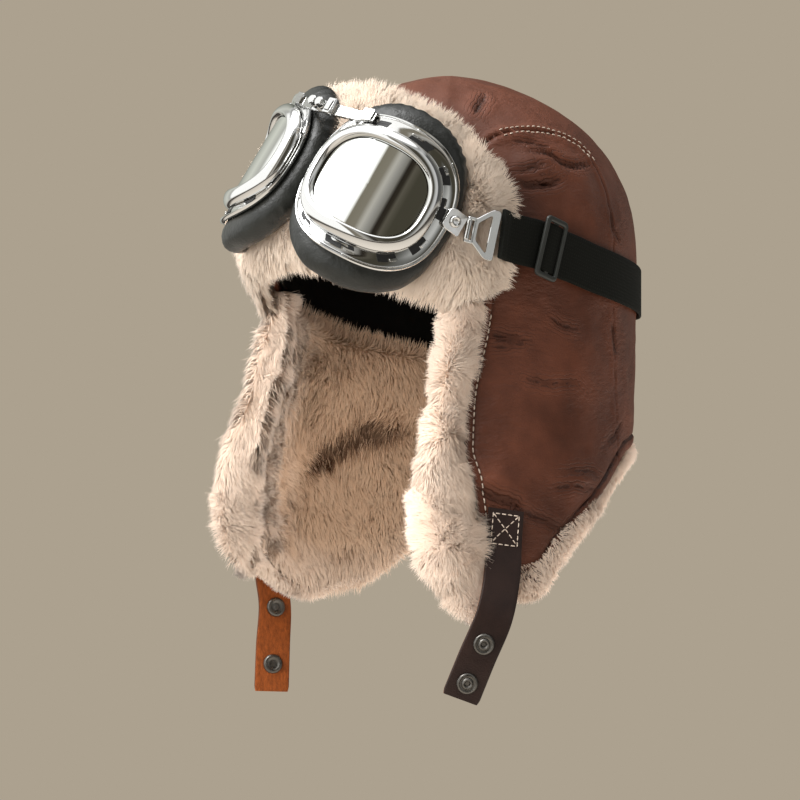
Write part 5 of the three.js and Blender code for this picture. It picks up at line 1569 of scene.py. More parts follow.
def strap_section(half, thick, steps=7):
    """A flat section with round edges: corner arcs of half the thickness."""
    turn = np.linspace(-np.pi / 2, np.pi / 2, steps)
    r = thick / 2
    right = np.stack([half - r * 0.8 + r * 0.8 * np.cos(turn), r * np.sin(turn)], -1)
    top = np.stack([np.linspace(half - r, -half + r, 11)[1:-1], np.full(9, r)], -1)
    left = np.stack([-half + r * 0.8 - r * 0.8 * np.cos(turn), -r * np.sin(turn)], -1)
    low = -top
    return np.vstack([right, top, left, low])


def chin_strap(rows):
    """Rings of a chin strap, which narrows at its last three, and what its paint needs at each point.

    That is whether the point is on the outer face, and how near it is to the strap's edge.
    """
    steps = 120
    t = np.linspace(0, 1, steps)
    point, _, across, face = chin_frames(rows, t)
    section = strap_section(CHIN_WIDTH / 2, CHIN_THICK)
    squeeze = np.ones(steps)
    squeeze[-3:] = (0.985, 0.965, 0.93)
    wave = 0.12 * noise(point, 9, 4)
    a = section[None, :, 0] * squeeze[:, None]
    f = section[None, :, 1] + wave[:, None]
    rings = point[:, None] + across[:, None] * a[..., None] + face[:, None] * f[..., None]
    side = np.broadcast_to(section[None, :, 1] > 0, a.shape)
    edge = np.abs(a) / (CHIN_WIDTH / 2)
    return rings, side.ravel(), edge.ravel()


def chin_paint(name, outside, inside, edge_colour):
    """Strap leather: dark and finished outside, tan and raw inside, darker at the cut edges."""
    paint = Paint(name, outside, 0.5)
    patch = paint.speckle(60, 4, rough=0.65)
    dark = paint.ramp(patch, ((0.3, tinted(outside, 0.75)), (0.7, tinted(outside, 1.35))))
    fibres = paint.speckle(700, 4, paint.where((1.0, 1.0, 0.35)), 0.7)
    tan = paint.ramp(fibres, ((0.3, tinted(inside, 0.55)), (0.55, inside), (0.75, tinted(inside, 1.35))))
    both = paint.mixed(paint.value("flesh"), dark, tan)
    paint.colour(paint.mixed(paint.range(paint.value("edge"), 0.93, 1.0, 0.0, 0.75), both, edge_colour))
    paint.roughness(paint.range(paint.value("flesh"), 0, 1, 0.42, 0.7))
    paint.bump(paint.cells(1100), 0.35, 0.00022)
    paint.bump(paint.speckle(300, 4), 0.25, 0.0003)
    paint.set(specular=0.3)
    return paint.mat


class HAT_OT_chin_straps(bpy.types.Operator):
    """Build the two chin straps"""

    bl_idname = "hat.chin_straps"
    bl_label = "Chin straps"

    def execute(self, context):
        paint = chin_paint("chin strap leather", (0.017, 0.0085, 0.0065), (0.21, 0.050, 0.009),
                           (0.010, 0.006, 0.004))
        for rows, word in ((CHIN_LEFT, "left"), (CHIN_RIGHT, "right")):
            rings, outside, edge = chin_strap(rows)
            points, faces = lofted(rings)
            values = {"flesh": np.append(1.0 - outside, [0.0, 0.0]), "edge": np.append(edge, [1.0, 1.0])}
            fit(piece(f"chin_strap_{word}_leather", points, faces, paint, values=values, sharp=60),
                f"chin_strap_{word}")
        return {"FINISHED"}


class HAT_OT_press_studs(bpy.types.Operator):
    """Build the press studs: a dished cap outside and a socket with its post hole inside"""

    bl_idname = "hat.press_studs"
    bl_label = "Press studs"

    def execute(self, context):
        paint = chrome_paint("stud metal", (0.17, 0.16, 0.145), 0.32)
        r = CHIN_THICK / 2
        profile = ((0.01, r + 0.75), (1.1, r + 0.7), (1.5, r + 1.7), (2.2, r + 2.05), (2.9, r + 1.6), (3.2, r + 0.95),
                   (3.9, r + 0.95), (4.5, r + 1.55), (5.1, r + 1.35), (5.5, r + 0.7), (5.5, r + 0.1), (2.4, r - 0.05),
                   (2.0, 0.0), (2.4, -r + 0.05), (5.5, -r - 0.1), (5.5, -r - 0.8), (5.0, -r - 1.6), (4.2, -r - 2.0),
                   (3.5, -r - 1.8), (2.9, -r - 1.2), (2.2, -r - 1.1), (1.9, -r - 0.5), (0.01, -r - 0.45))
        for side, rows, word in ((1, CHIN_LEFT, "left"), (-1, CHIN_RIGHT, "right")):
            for t, level in zip(STUDS[side], ("upper", "lower")):
                point, tangent, across, face = (v[0] for v in chin_frames(rows, t))
                points, faces = turned(profile, 48, set_in(point, across, tangent, face))
                fit(piece(f"snap_{word}_{level}_metal", points, faces, paint, sharp=50),
                    f"snap_{word}_{level}")
        return {"FINISHED"}


def stitch(points, ways, outs, length, width):
    """Small thread humps: a round section carried along an arch that dips into the leather at both ends."""
    n = len(points)
    steps, ring = 7, 6
    t = np.linspace(-1, 1, steps)
    turn = full_turn(ring)
    side = np.cross(outs, ways)
    thick = width / 2 * np.sqrt(np.maximum(1 - 0.75 * t**4, 0.05))
    middle = (points[:, None] + ways[:, None] * (t * length / 2)[None, :, None]
              + outs[:, None] * (0.34 * width - 0.5 * width * t**4)[None, :, None])
    body = (middle[:, :, None] + side[:, None, None] * (thick[:, None] * np.cos(turn))[None, :, :, None]
            + outs[:, None, None] * (thick[:, None] * np.sin(turn))[None, :, :, None])
    quads = grid_quads(steps, ring, False, True)
    faces = (np.arange(n)[:, None, None] * steps * ring + quads[None]).reshape(-1, 4)
    return body.reshape(-1, 3), [faces]


def resampled(line, pitch):
    """Points along a line at an even pitch, and the way of the line there."""
    gap = np.linalg.norm(np.diff(line, axis=0), axis=1)
    travel = np.append(0, np.cumsum(gap))
    spots = np.arange(pitch / 2, travel[-1], pitch)
    p, ahead, back = (np.stack([np.interp(spots + shift, travel, line[:, k]) for k in range(3)], -1)
                      for shift in (0.0, 0.3, -0.3))
    return p, unit(ahead - back)


def on_leather(line):
    """Brings points near the leather on to its finished surface, and gives the way out there."""
    phi = bearing(line[:, 0], line[:, 1], plan_depth(line[:, 1]))
    choice = np.linspace(0.2, 1.2, 500)
    gap = np.linalg.norm(skin(phi[:, None], choice[None]) - line[:, None], axis=2)
    q = choice[gap.argmin(1)]
    relief = leather_relief(phi, q, phi)[0]
    return skin(phi, q) + outward(phi, q) * (relief + 0.05)[:, None], outward(phi, q)


class HAT_OT_stitches(bpy.types.Operator):
    """Sew the seams: two rows over the top seam, one along each flap and the cross of the chin strap"""

    bl_idname = "hat.stitches"
    bl_label = "Stitches"

    def execute(self, context):
        length = sizes().stitch_length / MM
        parts = []
        plan = np.asarray(SEAM_PLAN[1:7], float)
        y = np.linspace(-30, 33, 300)
        x = np.interp(y, plan[:, 1], plan[:, 0])
        depth = plan_depth(y)
        for side in (1, -1):
            phi = bearing(side * x, y, depth)
            rho = np.hypot(x / HALF_WIDTH, y / depth)
            line = np.stack([side * x, y, dome_height(phi, rho)], -1)
            way = unit(np.gradient(line, axis=0))
            out = outward(phi, np.arcsin(np.clip(rho, 0, 1)) * 2 / np.pi)
            across = np.cross(way, out)
            for offset in (-2.1, 2.1):
                p, w = resampled(line + across * offset, length * 1.42)
                p, out_p = on_leather(p)
                w = unit(w - out_p * (w * out_p).sum(1)[:, None])
                parts.append(stitch(p, w, out_p, length * 0.85, 0.62))
            z, inset = np.linspace(-126, -236, 260), 3.0
            phi = side * (curve(FLAP_FRONT, z) + inset)
            p, w = resampled(at(phi, z, 0 * z), length * 1.42)
            phi_p = side * (curve(FLAP_FRONT, p[:, 2]) + inset)
            q = way_down(phi_p, p[:, 2])
            relief = leather_relief(phi_p, q, side * np.maximum(np.abs(phi_p), TEMPLE + inset))[0]
            out_p = outward(phi_p, q)
            parts.append(stitch(skin(phi_p, q) + out_p * (relief + 0.12)[:, None], w, out_p, length, 0.8))
        low, high, half = 0.035, 0.235, 7.2
        corners = np.array([[low, -half], [low, half], [high, half], [high, -half], [low, -half]])
        for rows in (CHIN_LEFT, CHIN_RIGHT):
            for line in (corners, corners[[0, 2]], corners[[1, 3]]):
                travel = np.linspace(0, len(line) - 1, 40 * (len(line) - 1))
                t = np.interp(travel, np.arange(len(line)), line[:, 0])
                a = np.interp(travel, np.arange(len(line)), line[:, 1])
                point, _, across, face = chin_frames(rows, t)
                path = point + across * a[:, None] + face * (CHIN_THICK / 2 + 0.05)
                p, w = resampled(path, length * 1.25)
                near = np.linalg.norm(path[None] - p[:, None], axis=2).argmin(1)
                parts.append(stitch(p, w, face[near], length * 0.9, 0.6))
        points, faces = joined(parts)
        paint = Paint("cream thread", (0.62, 0.50, 0.40), 0.7)
        paint.bump(paint.speckle(2500, 2), 0.4, 0.0001)
        paint.colour(paint.ramp(paint.speckle(400, 3), ((0.3, (0.40, 0.31, 0.24)), (0.7, (0.72, 0.60, 0.49)))))
        fit(piece("thread_stitches", points, faces, paint.mat))
        return {"FINISHED"}


# ---- goggles


class HAT_OT_goggle_pad(bpy.types.Operator):
    """Build the padded cushions of the goggles"""

    bl_idname = "hat.goggle_pad"
    bl_label = "Goggle pads"

    def execute(self, context):
        section = ((32, 26, 0, -4.1), (38, 32.5, 2, -4.1), (43, 39, 3.5, -4.1), (46.5, 43.2, 3.3, -4.3),
                   (49.3, 46.2, 3.1, -5.4), (51.8, 48.8, 3, -7.6), (53.4, 50.4, 3, -10), (54, 51, 3, -12.4),
                   (53.6, 50.6, 3, -15), (52.6, 49.6, 3, -17.4), (50.6, 47.6, 3, -PAD_DEPTH),
                   (46, 42.6, 2.4, -PAD_DEPTH - 0.3), (40, 35.4, 1.4, -PAD_DEPTH), (37.4, 32, 0.9, -15),
                   (35.6, 30, 0.5, -10))
        a, b, shift, w = np.asarray(section, float).T[:, None, :]
        # How fully each row of the section is puckered: the outer ones are, where the cushion shows.
        outer = np.zeros(a.shape[1])
        outer[4:11] = (0.5, 0.9, 1, 1, 1, 0.8, 0.4)
        turn = full_turn(220)[:, None]
        u, v = oval(a, b, turn)
        parts = []
        for side in (1, -1):
            rings = eye(side, np.stack([u + shift, v, w + 0 * u], -1))
            pinch = noise(rings, 7.5, 12) * 0.5 + noise(rings, 19, 13) * 0.7
            gathered = smooth(0.5 + 0.5 * np.sin(turn)) * (0.5 + 0.5 * noise(rings, 12, 15))
            pinch = pinch + 0.7 * gathered * np.cos(44 * turn + 3 * noise(rings, 16, 16))
            middle = eye(side, np.stack([0 * u + 3, 0 * v, w + 0 * u], -1))
            rings = rings + unit(rings - middle) * (pinch * outer[None])[..., None]
            phi, share = front_polar(rings)
            floor = at(phi, np.minimum(rings[..., 2], 5.0), np.full(phi.shape, 5.3))
            sunk = share < front_polar(floor)[1]
            rings = np.where(sunk[..., None], floor, rings)
            parts.append(lofted(rings, closed=True))
        points, faces = joined(parts)
        paint = Paint("goggle cushion", (0.006, 0.0065, 0.005), 0.38)
        patch = paint.speckle(70, 3)
        paint.colour(paint.ramp(patch, ((0.3, (0.005, 0.0055, 0.0045)), (0.7, (0.011, 0.0115, 0.0095)))))
        paint.bump(paint.cells(900), 0.3, 0.0002)
        paint.bump(paint.range(paint.speckle(110, 4, rough=0.6), 0.35, 0.65, 0, 1), 0.35, 0.0009)
        paint.uneven(150, 3, 0.34, 0.52)
        obj = fit(piece("goggle_pad_cushion", points, faces, paint.mat), "goggle_pad")
        return {"FINISHED"}


class HAT_OT_goggle_frames(bpy.types.Operator):
    """Build the chromed frames with their rolled edge and vents, and the bezels"""

    bl_idname = "hat.goggle_frames"
    bl_label = "Goggle frames"

    def execute(self, context):
        chrome = chrome_paint("chrome plate", tuple(colours().chrome))
        # Painted shade: near black for the shade inside the vent openings.
        dark = Paint("vent dark", (0.006, 0.006, 0.006), 0.5)
        dark.bump(dark.speckle(600, 2), 0.2, 0.0002)
        frame = ((31.2, 25.2, 0, -3.2), (38, 33, 1.8, -3.4), (43.2, 39.2, 3.5, -3.3), (43.8, 39.8, 3.5, -2.4),
                 (43.8, 39.8, 3.5, -1.0), (43.2, 39.2, 3.4, -0.35), (42.5, 38.5, 3.3, -0.5), (42.1, 38.1, 3.2, -1.3),
                 (41.6, 37.4, 3.0, -1.7), (39.4, 34.6, 2.0, -1.55), (37.6, 31.9, 0.8, -1.5), (31.2, 25.2, 0, -1.8))
        bezel = ((30.5, 24.5, 0, -1.4), (37.9, 31.9, 0.2, -1.3), (38.0, 32.0, 0.2, -0.6), (37.7, 31.7, 0.2, 0.7),
                 (37.0, 31.0, 0.1, 2.0), (35.8, 29.8, 0, 3.2), (34.4, 28.4, 0, 4.0), (33.0, 27.0, 0, 4.45),
                 (31.8, 25.8, 0, 4.6), (30.9, 24.9, 0, 4.45), (30.4, 24.4, 0, 4.0), (30.1, 24.1, 0, 2.8),
                 (29.6, 23.6, 0, 1.6), (29.8, 23.8, 0, 0.9))
        for side, word in SIDES:
            place = functools.partial(eye, side)
            for kind, section, sharp in (("frame", frame, 48), ("bezel", bezel, 60)):
                points, faces = eye_ring(side, section, 200)
                fit(piece(f"goggle_{kind}_{word}_chrome", points, faces, chrome, sharp=sharp),
                    f"goggle_{kind}_{word}")
            # Each vent is two slots and a hood: angles from its middle, shares of the way out, low and high. The slots
            # are near-black plates: painted shade in the vent openings.
            slots, hoods = [], []
            for angle in VENTS:
                for kind, from_angle, to_angle, s0, s1, w0, w1 in (
                    (slots, -9.0, 9.0, 0.0, 0.36, -1.75, -1.3), (slots, -9.0, 0.5, 0.3, 0.62, -1.75, -1.32),
                    (hoods, 1.5, 9.0, 0.38, 0.58, -1.75, -0.6),
                ):
                    turn = np.radians(np.linspace(angle + from_angle, angle + to_angle, 12))
                    u0, v0 = oval(38.2, 32.2, turn)
                    u1, v1 = oval(42.0, 38.0, turn)
                    inner, outer = (np.stack([u0 + (u1 + 3 - u0) * share, v0 + (v1 - v0) * share], -1)
                                    for share in (s0, s1))
                    outline = rounded(np.vstack([inner, outer[::-1]]), 0.35, 2)
                    kind.append(plate(outline, w0, w1, 0.2, place))
            fit(piece(f"goggle_vents_{word}", *joined(slots), dark.mat, sharp=40))
            fit(piece(f"goggle_vent_hoods_{word}", *joined(hoods), chrome, sharp=40))
        return {"FINISHED"}


class HAT_OT_goggle_lenses(bpy.types.Operator):
    """Build the mirrored glasses"""

    bl_idname = "hat.goggle_lenses"
    bl_label = "Goggle glasses"

    def execute(self, context):
        paint = Paint("mirror glass", (0.80, 0.81, 0.78), 0.03, 1.0)
        paint.roughness(paint.range(paint.speckle(180, 4, rough=0.7), 0.4, 0.8, 0.02, 0.07))
        paint.set(coat=0.4, coat_rough=0.02)
        u, v = oval(29.3, 23.3, full_turn(96)[None])
        share = np.linspace(0.04, 1, 20)[:, None]
        rings = np.concatenate([np.stack([u * run, v * run, w + 0 * u * run], -1)
                                for w, run in ((0.8, share), (-0.8, share[::-1]))])
        for side, word in SIDES:
            fit(piece(f"goggle_lens_{word}_glass", *lofted(eye(side, rings)), paint.mat, sharp=40),
                f"goggle_lens_{word}")
        return {"FINISHED"}


class HAT_OT_nose_bridge(bpy.types.Operator):
    """Build the hinge over the nose and its brackets"""

    bl_idname = "hat.nose_bridge"
    bl_label = "Nose bridge"

    def execute(self, context):
        chrome = chrome_paint("bridge chrome", tuple(colours().chrome), 0.08)

        def bridge(p):
            """(across, up, out of the forehead) of the bridge in the hat."""
            return goggle(np.stack([p[..., 0], -p[..., 2], p[..., 1]], -1))

        for side, word in SIDES:
            rings = [eye(side, np.array([[u, low, 0.1], [u, low, 0.9], [u, low + 0.5, 1.7],
                                         [u, high - 0.5, 1.7], [u, high, 0.9], [u, high, 0.1]]))
                     for u, low, high in ((-16, 31.4, 36.4), (-20, 30.3, 35.8), (-25, 28.8, 34.8))]
            last = np.array([[0.6, 27.2], [-0.3, 27.2], [-1, 27.7], [-1, 33.1], [-0.3, 33.6], [0.6, 33.6]])
            inner = goggle(np.stack([np.full(6, side * 10.4), last[:, 0], last[:, 1]], -1))
            clip = plate(rounded([[-23.5, 29.6], [-17, 30.8], [-17, 37.4], [-23.5, 36.4]], 0.9), 1.75, 2.9, 0.3,
                         functools.partial(eye, side))
            points, faces = joined([lofted(np.stack([*rings, inner])), clip])
            fit(piece(f"bridge_bracket_{word}_chrome", points, faces, chrome, sharp=35),
                f"bridge_bracket_{word}")
        parts = [plate(rounded([[-10, 27.2], [10, 27.2], [10, 33.8], [-10, 33.8]], 0.8), -0.6, 1.0, 0.3, bridge),
                 plate(rounded([[3.2, 25.8], [9, 25.8], [9, 35.2], [3.2, 35.2]], 0.8), 1.1, 4.6, 0.5, bridge),
                 plate(rounded([[4.2, 27.4], [8, 27.4], [8, 33.6], [4.2, 33.6]], 0.6), 4.6, 5.2, 0.3, bridge)]
        profile = ((0.01, -4.7), (2.2, -4.7), (2.65, -4.3), (2.7, -1.7), (2.45, -1.4), (2.7, -1.1), (2.7, 1.1),
                   (2.45, 1.4), (2.7, 1.7), (2.65, 4.3), (2.2, 4.7), (0.01, 4.7))
        for x in (-6.2, -0.6):
            def barrel(p, x=x):
                """A barrel on end: its axis runs out of the forehead as on the solid."""
                return goggle(np.stack([x + p[..., 0], -2.4 + p[..., 2], 30.6 + p[..., 1]], -1))

            parts.append(turned(profile, 28, barrel))
        fit(piece("bridge_hinge_chrome", *joined(parts), chrome, sharp=35), "bridge_hinge")
        return {"FINISHED"}


def side_frame(side):
    """Axes of the fittings beside an eye: along the head, rise and out, and where they start."""
    along = unit(np.array((0.375, 0.927, -0.22) if side > 0 else (-0.72, 0.69, -0.05)))
    up = GOGGLE_YAW_TURN @ GOGGLE_TURN @ np.array([0, 0, 1.0])
    out = unit(np.cross(along, up) * side)
    rise = unit(np.cross(out, along) * side)
    start = eye(side, np.array([54.2, TAB_HEIGHT, 0.6]))
    return along, rise, out, start


class HAT_OT_side_fittings(bpy.types.Operator):
    """Build the tab, rivet and strap loop on each side of the goggles"""

    bl_idname = "hat.side_fittings"
    bl_label = "Side fittings"

    def execute(self, context):
        chrome = chrome_paint("fitting chrome", tuple(colours().chrome), 0.12)

        def cut(outline, radius, centre):
            """Where rays from a centre on the loop's axis meet a rounded outline."""
            shape = rounded(outline, radius, 9)
            angle = np.arctan2(shape[:, 1], shape[:, 0] - centre)
            order = np.argsort(angle)
            shape, angle = shape[order], angle[order]
            ray = (full_turn(96) + np.pi) % (2 * np.pi) - np.pi
            return np.stack([np.interp(ray, angle, shape[:, k], period=2 * np.pi) for k in (0, 1)], -1)

        for side, word in SIDES:
            along, rise, out, start = side_frame(side)

            def place(p, along=along, rise=rise, out=out, start=start):
                """(along the head, up, out) from 1.7 mm behind the start of the fittings."""
                return start + along * (p[..., :1] + 1.7) + rise * p[..., 1:2] + out * p[..., 2:]

            outline = rounded([[42.4, TAB_HEIGHT - 4.6], [45, TAB_HEIGHT - 6], [53.6, TAB_HEIGHT - 6],
                               [53.6, TAB_HEIGHT + 6], [45, TAB_HEIGHT + 6], [42.4, TAB_HEIGHT + 4.6]], 1.2)
            tab = plate(outline, 0.0, 1.2, 0.25, functools.partial(eye, side))
            roll = turned(((0.01, -5.4), (1.2, -5.3), (1.5, -4.9), (1.5, 4.9), (1.2, 5.3), (0.01, 5.4)), 20,
                          lambda p, f=place: f(np.stack([p[..., 0] + 0.9, p[..., 2], p[..., 1]], -1)))
            fit(piece(f"side_tab_{word}_chrome", *joined([tab, roll]), chrome, sharp=35),
                f"side_tab_{word}")
            rivet = turned(((0.01, 0.3), (1.3, 0.3), (1.3, 1.25), (3.1, 1.3), (3.2, 1.6), (2.9, 2.3), (2.2, 2.7),
                            (1.5, 2.4), (1.2, 1.9), (0.01, 1.8)), 32,
                           lambda p, s=side: eye(s, np.stack([48 + p[..., 0], TAB_HEIGHT + p[..., 1], p[..., 2]], -1)))
            fit(piece(f"side_rivet_{word}_chrome", *rivet, chrome, sharp=50), f"side_rivet_{word}")
            window = ring_plate(cut([[3.6, -6.4], [4.6, -6.6], [12.4, -13], [17.4, -13], [17.4, 13], [12.4, 13],
                                     [4.6, 6.6], [3.6, 6.4]], 1.6, 10.4),
                                cut([[6, -4.4], [12.8, -10], [12.8, 10], [6, 4.4]], 1.2, 10.4), -0.8, 0.8, 0.3,
                                place)
            slot = ring_plate(cut([[-0.4, -6.8], [4.8, -6.8], [4.8, 6.8], [-0.4, 6.8]], 1.2, 2.3),
                              cut([[1.2, -5.2], [3.4, -5.2], [3.4, 5.2], [1.2, 5.2]], 0.5, 2.3), -0.8, 0.8, 0.3,
                              place)
            fit(piece(f"strap_loop_{word}_chrome", *joined([window, slot]), chrome, sharp=40),
                f"strap_loop_{word}")
        return {"FINISHED"}


def band_path(angle):
    """Middle of the band, its tangent, the way up across it and the way out, at an angle from 0 to 360."""
    def point(a):
        """The band's middle and the way out of the hat there."""
        phi = np.where(a > 180, a - 360, a)
        z = band_row(phi)
        return at(phi, z, band_row(phi, 2)), outward(phi, way_down(phi, z))

    middle, normal = point(angle)
    tangent = unit(point(angle + 0.5)[0] - point(angle - 0.5)[0])
    up = unit(np.cross(tangent, normal))
    return middle, tangent, up, unit(np.cross(up, tangent))


class HAT_OT_goggle_band(bpy.types.Operator):
    """Build the elastic band and its slider"""

    bl_idname = "hat.goggle_band"
    bl_label = "Goggle band"

    def execute(self, context):
        angle = np.linspace(BAND_STARTS, BAND_STOPS, 300)
        middle, _, up, face = band_path(angle)
        section = strap_section(BAND_WIDTH / 2, BAND_THICK, 5)
        # It is sewn back on itself at both loops, where it is half as thick again.
        doubled = 0.5 * (1 - smooth((angle - 62.5) / 1.2)) + 0.5 * smooth((angle - 303.5) / 1.2)
        a = section[None, :, 0] * np.ones((len(angle), 1))
        f = (section[None, :, 1] + BAND_THICK / 2) * (1 + doubled[:, None])
        rings = middle[:, None] + up[:, None] * a[..., None] + face[:, None] * f[..., None]
        points, faces = lofted(rings)
        travel = np.append(0, np.cumsum(np.linalg.norm(np.diff(middle, axis=0), axis=1)))

        def band_map(along, section):
            """Map of a loft in metres: the way along it and across it, and nought for its two end points."""
            uv = np.stack([np.repeat(along, len(section)), np.tile(section[:, 0], len(along))], -1) * MM
            return np.vstack([uv, [[0, 0], [0, 0]]])

        paint = cloth_paint("elastic band", (0.0028, 0.0031, 0.0020), (0.0065, 0.0070, 0.0050), 0.0009)
        fit(piece("goggle_strap_band", points, faces, paint, uv=band_map(travel, section), sharp=50),
            "goggle_strap")

        point, tangent, rise, out = (v[0] for v in band_path(np.array([78.0])))
        seat = point + out * (BAND_THICK + 2)
        place = set_in(seat, tangent, rise, out)
        outer = rounded([[-8.25, -16.5], [8.25, -16.5], [8.25, 16.5], [-8.25, 16.5]], 3.2, 10)
        inner = rounded([[-5.4, -13.6], [6.2, -13.6], [6.2, 13.6], [-5.4, 13.6]], 1.6, 10)
        plastic = Paint("slider plastic", (0.020, 0.021, 0.018), 0.34)
        plastic.bump(plastic.speckle(900, 2), 0.15, 0.00012)
        plastic.uneven(90, 3, 0.3, 0.42)
        frame = ring_plate(outer, inner, -1.1, 1.1, 0.6, place)
        bar = plate(rounded([[-1.4, -13.8], [1.4, -13.8], [1.4, 13.8], [-1.4, 13.8]], 0.6), -1.0, 0.2, 0.3, place)
        fit(piece("strap_slider_plastic", *joined([frame, bar]), plastic.mat, sharp=60),
            "strap_slider")

        # The short run of the band that humps over the slider's bar.
        s = np.linspace(-5.2, 6.0, 24)
        hump = 1.0 * np.cos(np.pi * s / 12.5) - 1.15
        path = seat + tangent * s[:, None] + out * hump[:, None]
        section = strap_section(BAND_WIDTH / 2, 1.2, 5)
        rings = path[:, None] + rise * section[None, :, :1] + out * section[None, :, 1:]
        points, faces = lofted(rings)
        fit(piece("goggle_strap_fold", points, faces, paint, uv=band_map(s, section), sharp=50))
        return {"FINISHED"}


# ---- stage


# What chrome and glass mirror.
WHITE, PALE, GREY, OLIVE = (1.15, 1.15, 1.13), (0.50, 0.50, 0.48), (0.24, 0.24, 0.23), (0.055, 0.050, 0.036)
# Compass angle from the forehead towards the wearer's left, and what stands there.
SURROUND = (
    (-180, PALE), (-158, OLIVE), (-138, (0.05, 0.06, 0.05)), (-122, (0.30, 0.31, 0.27)),
    (-100, (0.62, 0.63, 0.57)), (-88, (0.45, 0.45, 0.42)), (-82, WHITE), (23, WHITE),
    (25, (0.20, 0.18, 0.14)), (34, (0.22, 0.20, 0.16)), (39, (0.46, 0.44, 0.40)), (44, (0.30, 0.29, 0.27)),
    (48, (0.20, 0.19, 0.17)), (50, (0.02, 0.016, 0.012)), (54, (0.03, 0.025, 0.018)), (56, (0.10, 0.09, 0.07)),
    (62, OLIVE), (74, OLIVE), (80, (0.15, 0.15, 0.14)), (94, PALE), (112, (0.62, 0.62, 0.62)),
    (120, (0.07, 0.07, 0.07)), (150, (0.12, 0.12, 0.11)), (180, GREY),
)
# Height from 0 at the horizon to 1 straight up, and from 0 straight down to 1 at the horizon.
CEILING = ((0.74, (0.9, 0.9, 0.9)), (0.86, (0.30, 0.30, 0.29)), (0.90, (1.5, 1.5, 1.5)), (1.0, (1.5, 1.5, 1.5)))
FLOOR = ((0.0, (0.90, 0.82, 0.72)), (0.62, (0.70, 0.64, 0.56)), (0.72, (0.08, 0.07, 0.06)),
         (0.80, (0.04, 0.035, 0.03)), (0.83, (0.5, 0.47, 0.42)))
SURROUND_STRENGTH = 1.15
# Lamps: place to the camera's right, up and towards it in metres, power, width and height.
LAMPS = (
    ("key_top", -0.8, 1.45, 0.4, 32, 1.2, 1.0), ("key_left", -1.5, 0.2, 0.9, 31, 0.8, 1.4),
    ("fill_front", -0.9, -0.15, 2.0, 26, 1.1, 1.1), ("fill_back", 1.1, -0.8, -0.5, 22, 1.2, 1.0),
)
LAMP_TARGET = np.array([-20, -21, -120])

CAMERA_BACK = np.array([0.7314, -0.6820, 0.0])
CAMERA_RIGHT = np.array([0.6820, 0.7314, 0.0])
LOOK = np.array([-19.7, -21.1, -171.4])
CAMERA_DISTANCE, CAMERA_LENS, CAMERA_SENSOR = 1.6, 129.6, 36


def studio(right, up, back):
    """A spot given in metres to the camera's right, up and towards it, from the middle of the hat."""
    return LOOK * MM + CAMERA_RIGHT * right + np.array([0, 0, 1.0]) * up + CAMERA_BACK * back


def aimed(name, data, spot, target):
    """A new object at a spot with its -Z towards a target."""
    obj = bpy.data.objects.new(name, data)
    bpy.context.scene.collection.objects.link(obj)
    obj.rotation_euler = (Vector(target) - Vector(spot)).to_track_quat("-Z", "Y").to_euler()
    obj.location = spot
    return obj


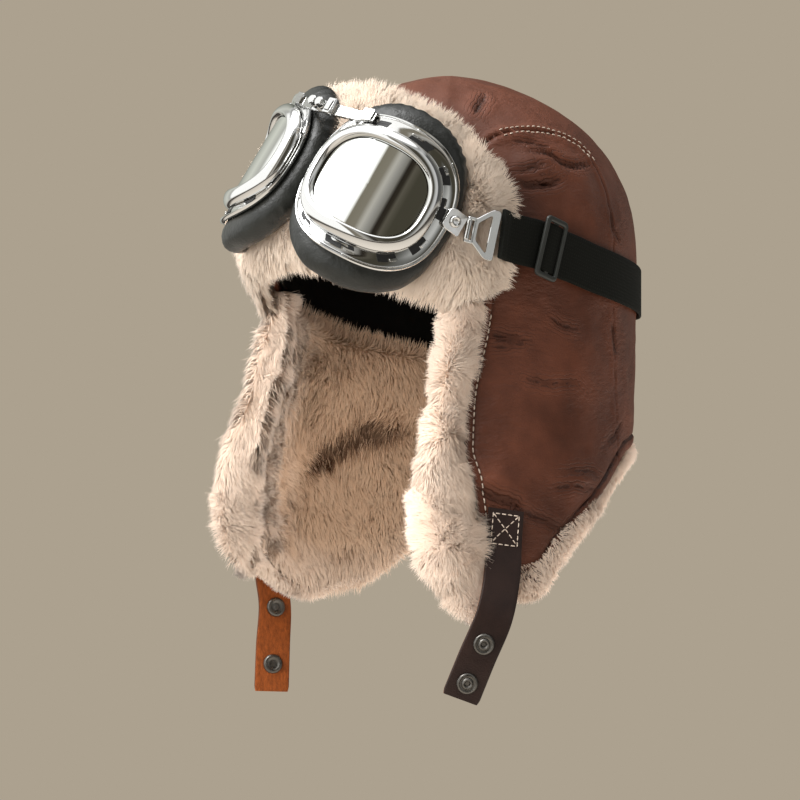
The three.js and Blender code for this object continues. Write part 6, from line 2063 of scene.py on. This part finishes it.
class HAT_OT_stage(bpy.types.Operator):
    """Set the studio: backdrop, the surround that chrome and glass mirror, lights and the camera"""

    bl_idname = "hat.stage"
    bl_label = "Studio"

    def surround(self, tree):
        """What chrome and glass mirror: upright bands by compass angle, a bright ceiling and a dim floor."""
        world = Nodes(tree)
        split = world.node("ShaderNodeSeparateXYZ")
        world.link(world.node("ShaderNodeTexCoord").outputs["Generated"], split.inputs["Vector"])
        x, y, z = split.outputs
        angle = world.sums("ARCTAN2", x, world.sums("MULTIPLY", y, -1.0))
        share = world.sums("ADD", world.sums("MULTIPLY", angle, 0.5 / np.pi), 0.5)
        walls = world.ramp(share, [((degrees + 180) / 360, colour) for degrees, colour in SURROUND])
        ceiling = world.ramp(z, CEILING)
        floor = world.ramp(world.sums("ADD", z, 1.0), FLOOR)
        above = world.sums("MULTIPLY", world.sums("SUBTRACT", z, 0.74), 12.0)
        below = world.sums("MULTIPLY", world.sums("SUBTRACT", -0.10, z), 14.0)
        for value in (above, below):
            value.node.use_clamp = True
        background = tree.nodes["Background"]
        world.link(world.mixed(below, world.mixed(above, walls, ceiling), floor), background.inputs["Color"])
        background.inputs["Strength"].default_value = SURROUND_STRENGTH

    def execute(self, context):
        scene = context.scene
        scene.view_settings.view_transform = "Standard"
        scene.view_settings.look = "None"
        world = bpy.data.worlds.new("studio")
        scene.world = world
        world.use_nodes = True
        self.surround(world.node_tree)

        radius = np.concatenate([np.linspace(0.02, 2.2, 12), 2.2 + 1.2 * np.sin(np.linspace(0.1, np.pi / 2, 14)),
                                 np.full(6, 3.4)])
        height = np.concatenate([np.zeros(12), 1.2 - 1.2 * np.cos(np.linspace(0.1, np.pi / 2, 14)),
                                 np.linspace(1.4, 4.0, 6)]) - 0.62
        turn = full_turn(96)
        rings = np.stack([radius[:, None] * np.cos(turn), radius[:, None] * np.sin(turn),
                          height[:, None] + 0 * turn], -1)
        points = np.vstack([rings.reshape(-1, 3), [[0, 0, height[0]]]]) / MM
        middle = fan(len(points) - 1, 96)[:, [0, 2, 1]]
        paint = Paint("backdrop", (0.0, 0.0, 0.0), 1.0)
        paint.set(specular=0.0)
        paint.shader.inputs["Emission Color"].default_value = (*colours().backdrop, 1)
        paint.shader.inputs["Emission Strength"].default_value = 1.0
        bowl = piece("studio_backdrop", points, [grid_quads(len(radius), 96, False, True), middle], paint.mat)
        bowl.visible_glossy = False
        bowl.visible_diffuse = False
        bowl.visible_shadow = False

        for name, right, up, back, power, width, depth in LAMPS:
            data = bpy.data.lights.new(name, "AREA")
            data.shape = "RECTANGLE"
            data.size, data.size_y = width, depth
            data.energy = power
            obj = aimed(name, data, studio(right, up, back), LAMP_TARGET * MM)
            obj.visible_glossy = name == "key_top"

        camera = bpy.data.cameras.new("camera")
        camera.lens = CAMERA_LENS
        camera.sensor_width = CAMERA_SENSOR
        camera.clip_end = 50
        scene.camera = aimed("camera", camera, studio(0, 0, CAMERA_DISTANCE), LOOK * MM)
        return {"FINISHED"}


class HAT_PT_panel(bpy.types.Panel):
    """The hat's operators and sizes in the sidebar"""

    bl_idname = "HAT_PT_panel"
    bl_label = "Aviator hat"
    bl_space_type = "VIEW_3D"
    bl_region_type = "UI"
    bl_category = "Hat"

    def draw(self, context):
        for group in (context.scene.hat_sizes, context.scene.hat_colours):
            column = self.layout.column(align=True)
            for key in group.__annotations__:
                column.prop(group, key)
        for operator in OPERATORS:
            self.layout.operator(operator.bl_idname)


OPERATORS = (
    HAT_OT_leather, HAT_OT_lining, HAT_OT_brim, HAT_OT_flap_pile, HAT_OT_chin_straps, HAT_OT_press_studs,
    HAT_OT_stitches, HAT_OT_goggle_pad, HAT_OT_goggle_frames, HAT_OT_goggle_lenses, HAT_OT_nose_bridge,
    HAT_OT_side_fittings, HAT_OT_goggle_band, HAT_OT_stage,
)
CLASSES = (HatSizes, HatColours, *OPERATORS, HAT_PT_panel)


def register():
    """Adds the classes and gives each scene its sizes and colours."""
    for item in CLASSES:
        bpy.utils.register_class(item)
    bpy.types.Scene.hat_sizes = bpy.props.PointerProperty(type=HatSizes)
    bpy.types.Scene.hat_colours = bpy.props.PointerProperty(type=HatColours)


def unregister():
    """Takes them away again."""
    del bpy.types.Scene.hat_sizes
    del bpy.types.Scene.hat_colours
    for item in reversed(CLASSES):
        bpy.utils.unregister_class(item)


def main():
    """Builds everything in order."""
    register()
    for operator in OPERATORS:
        family, name = operator.bl_idname.split(".")
        getattr(getattr(bpy.ops, family), name)()


if __name__ == "__main__":
    main()
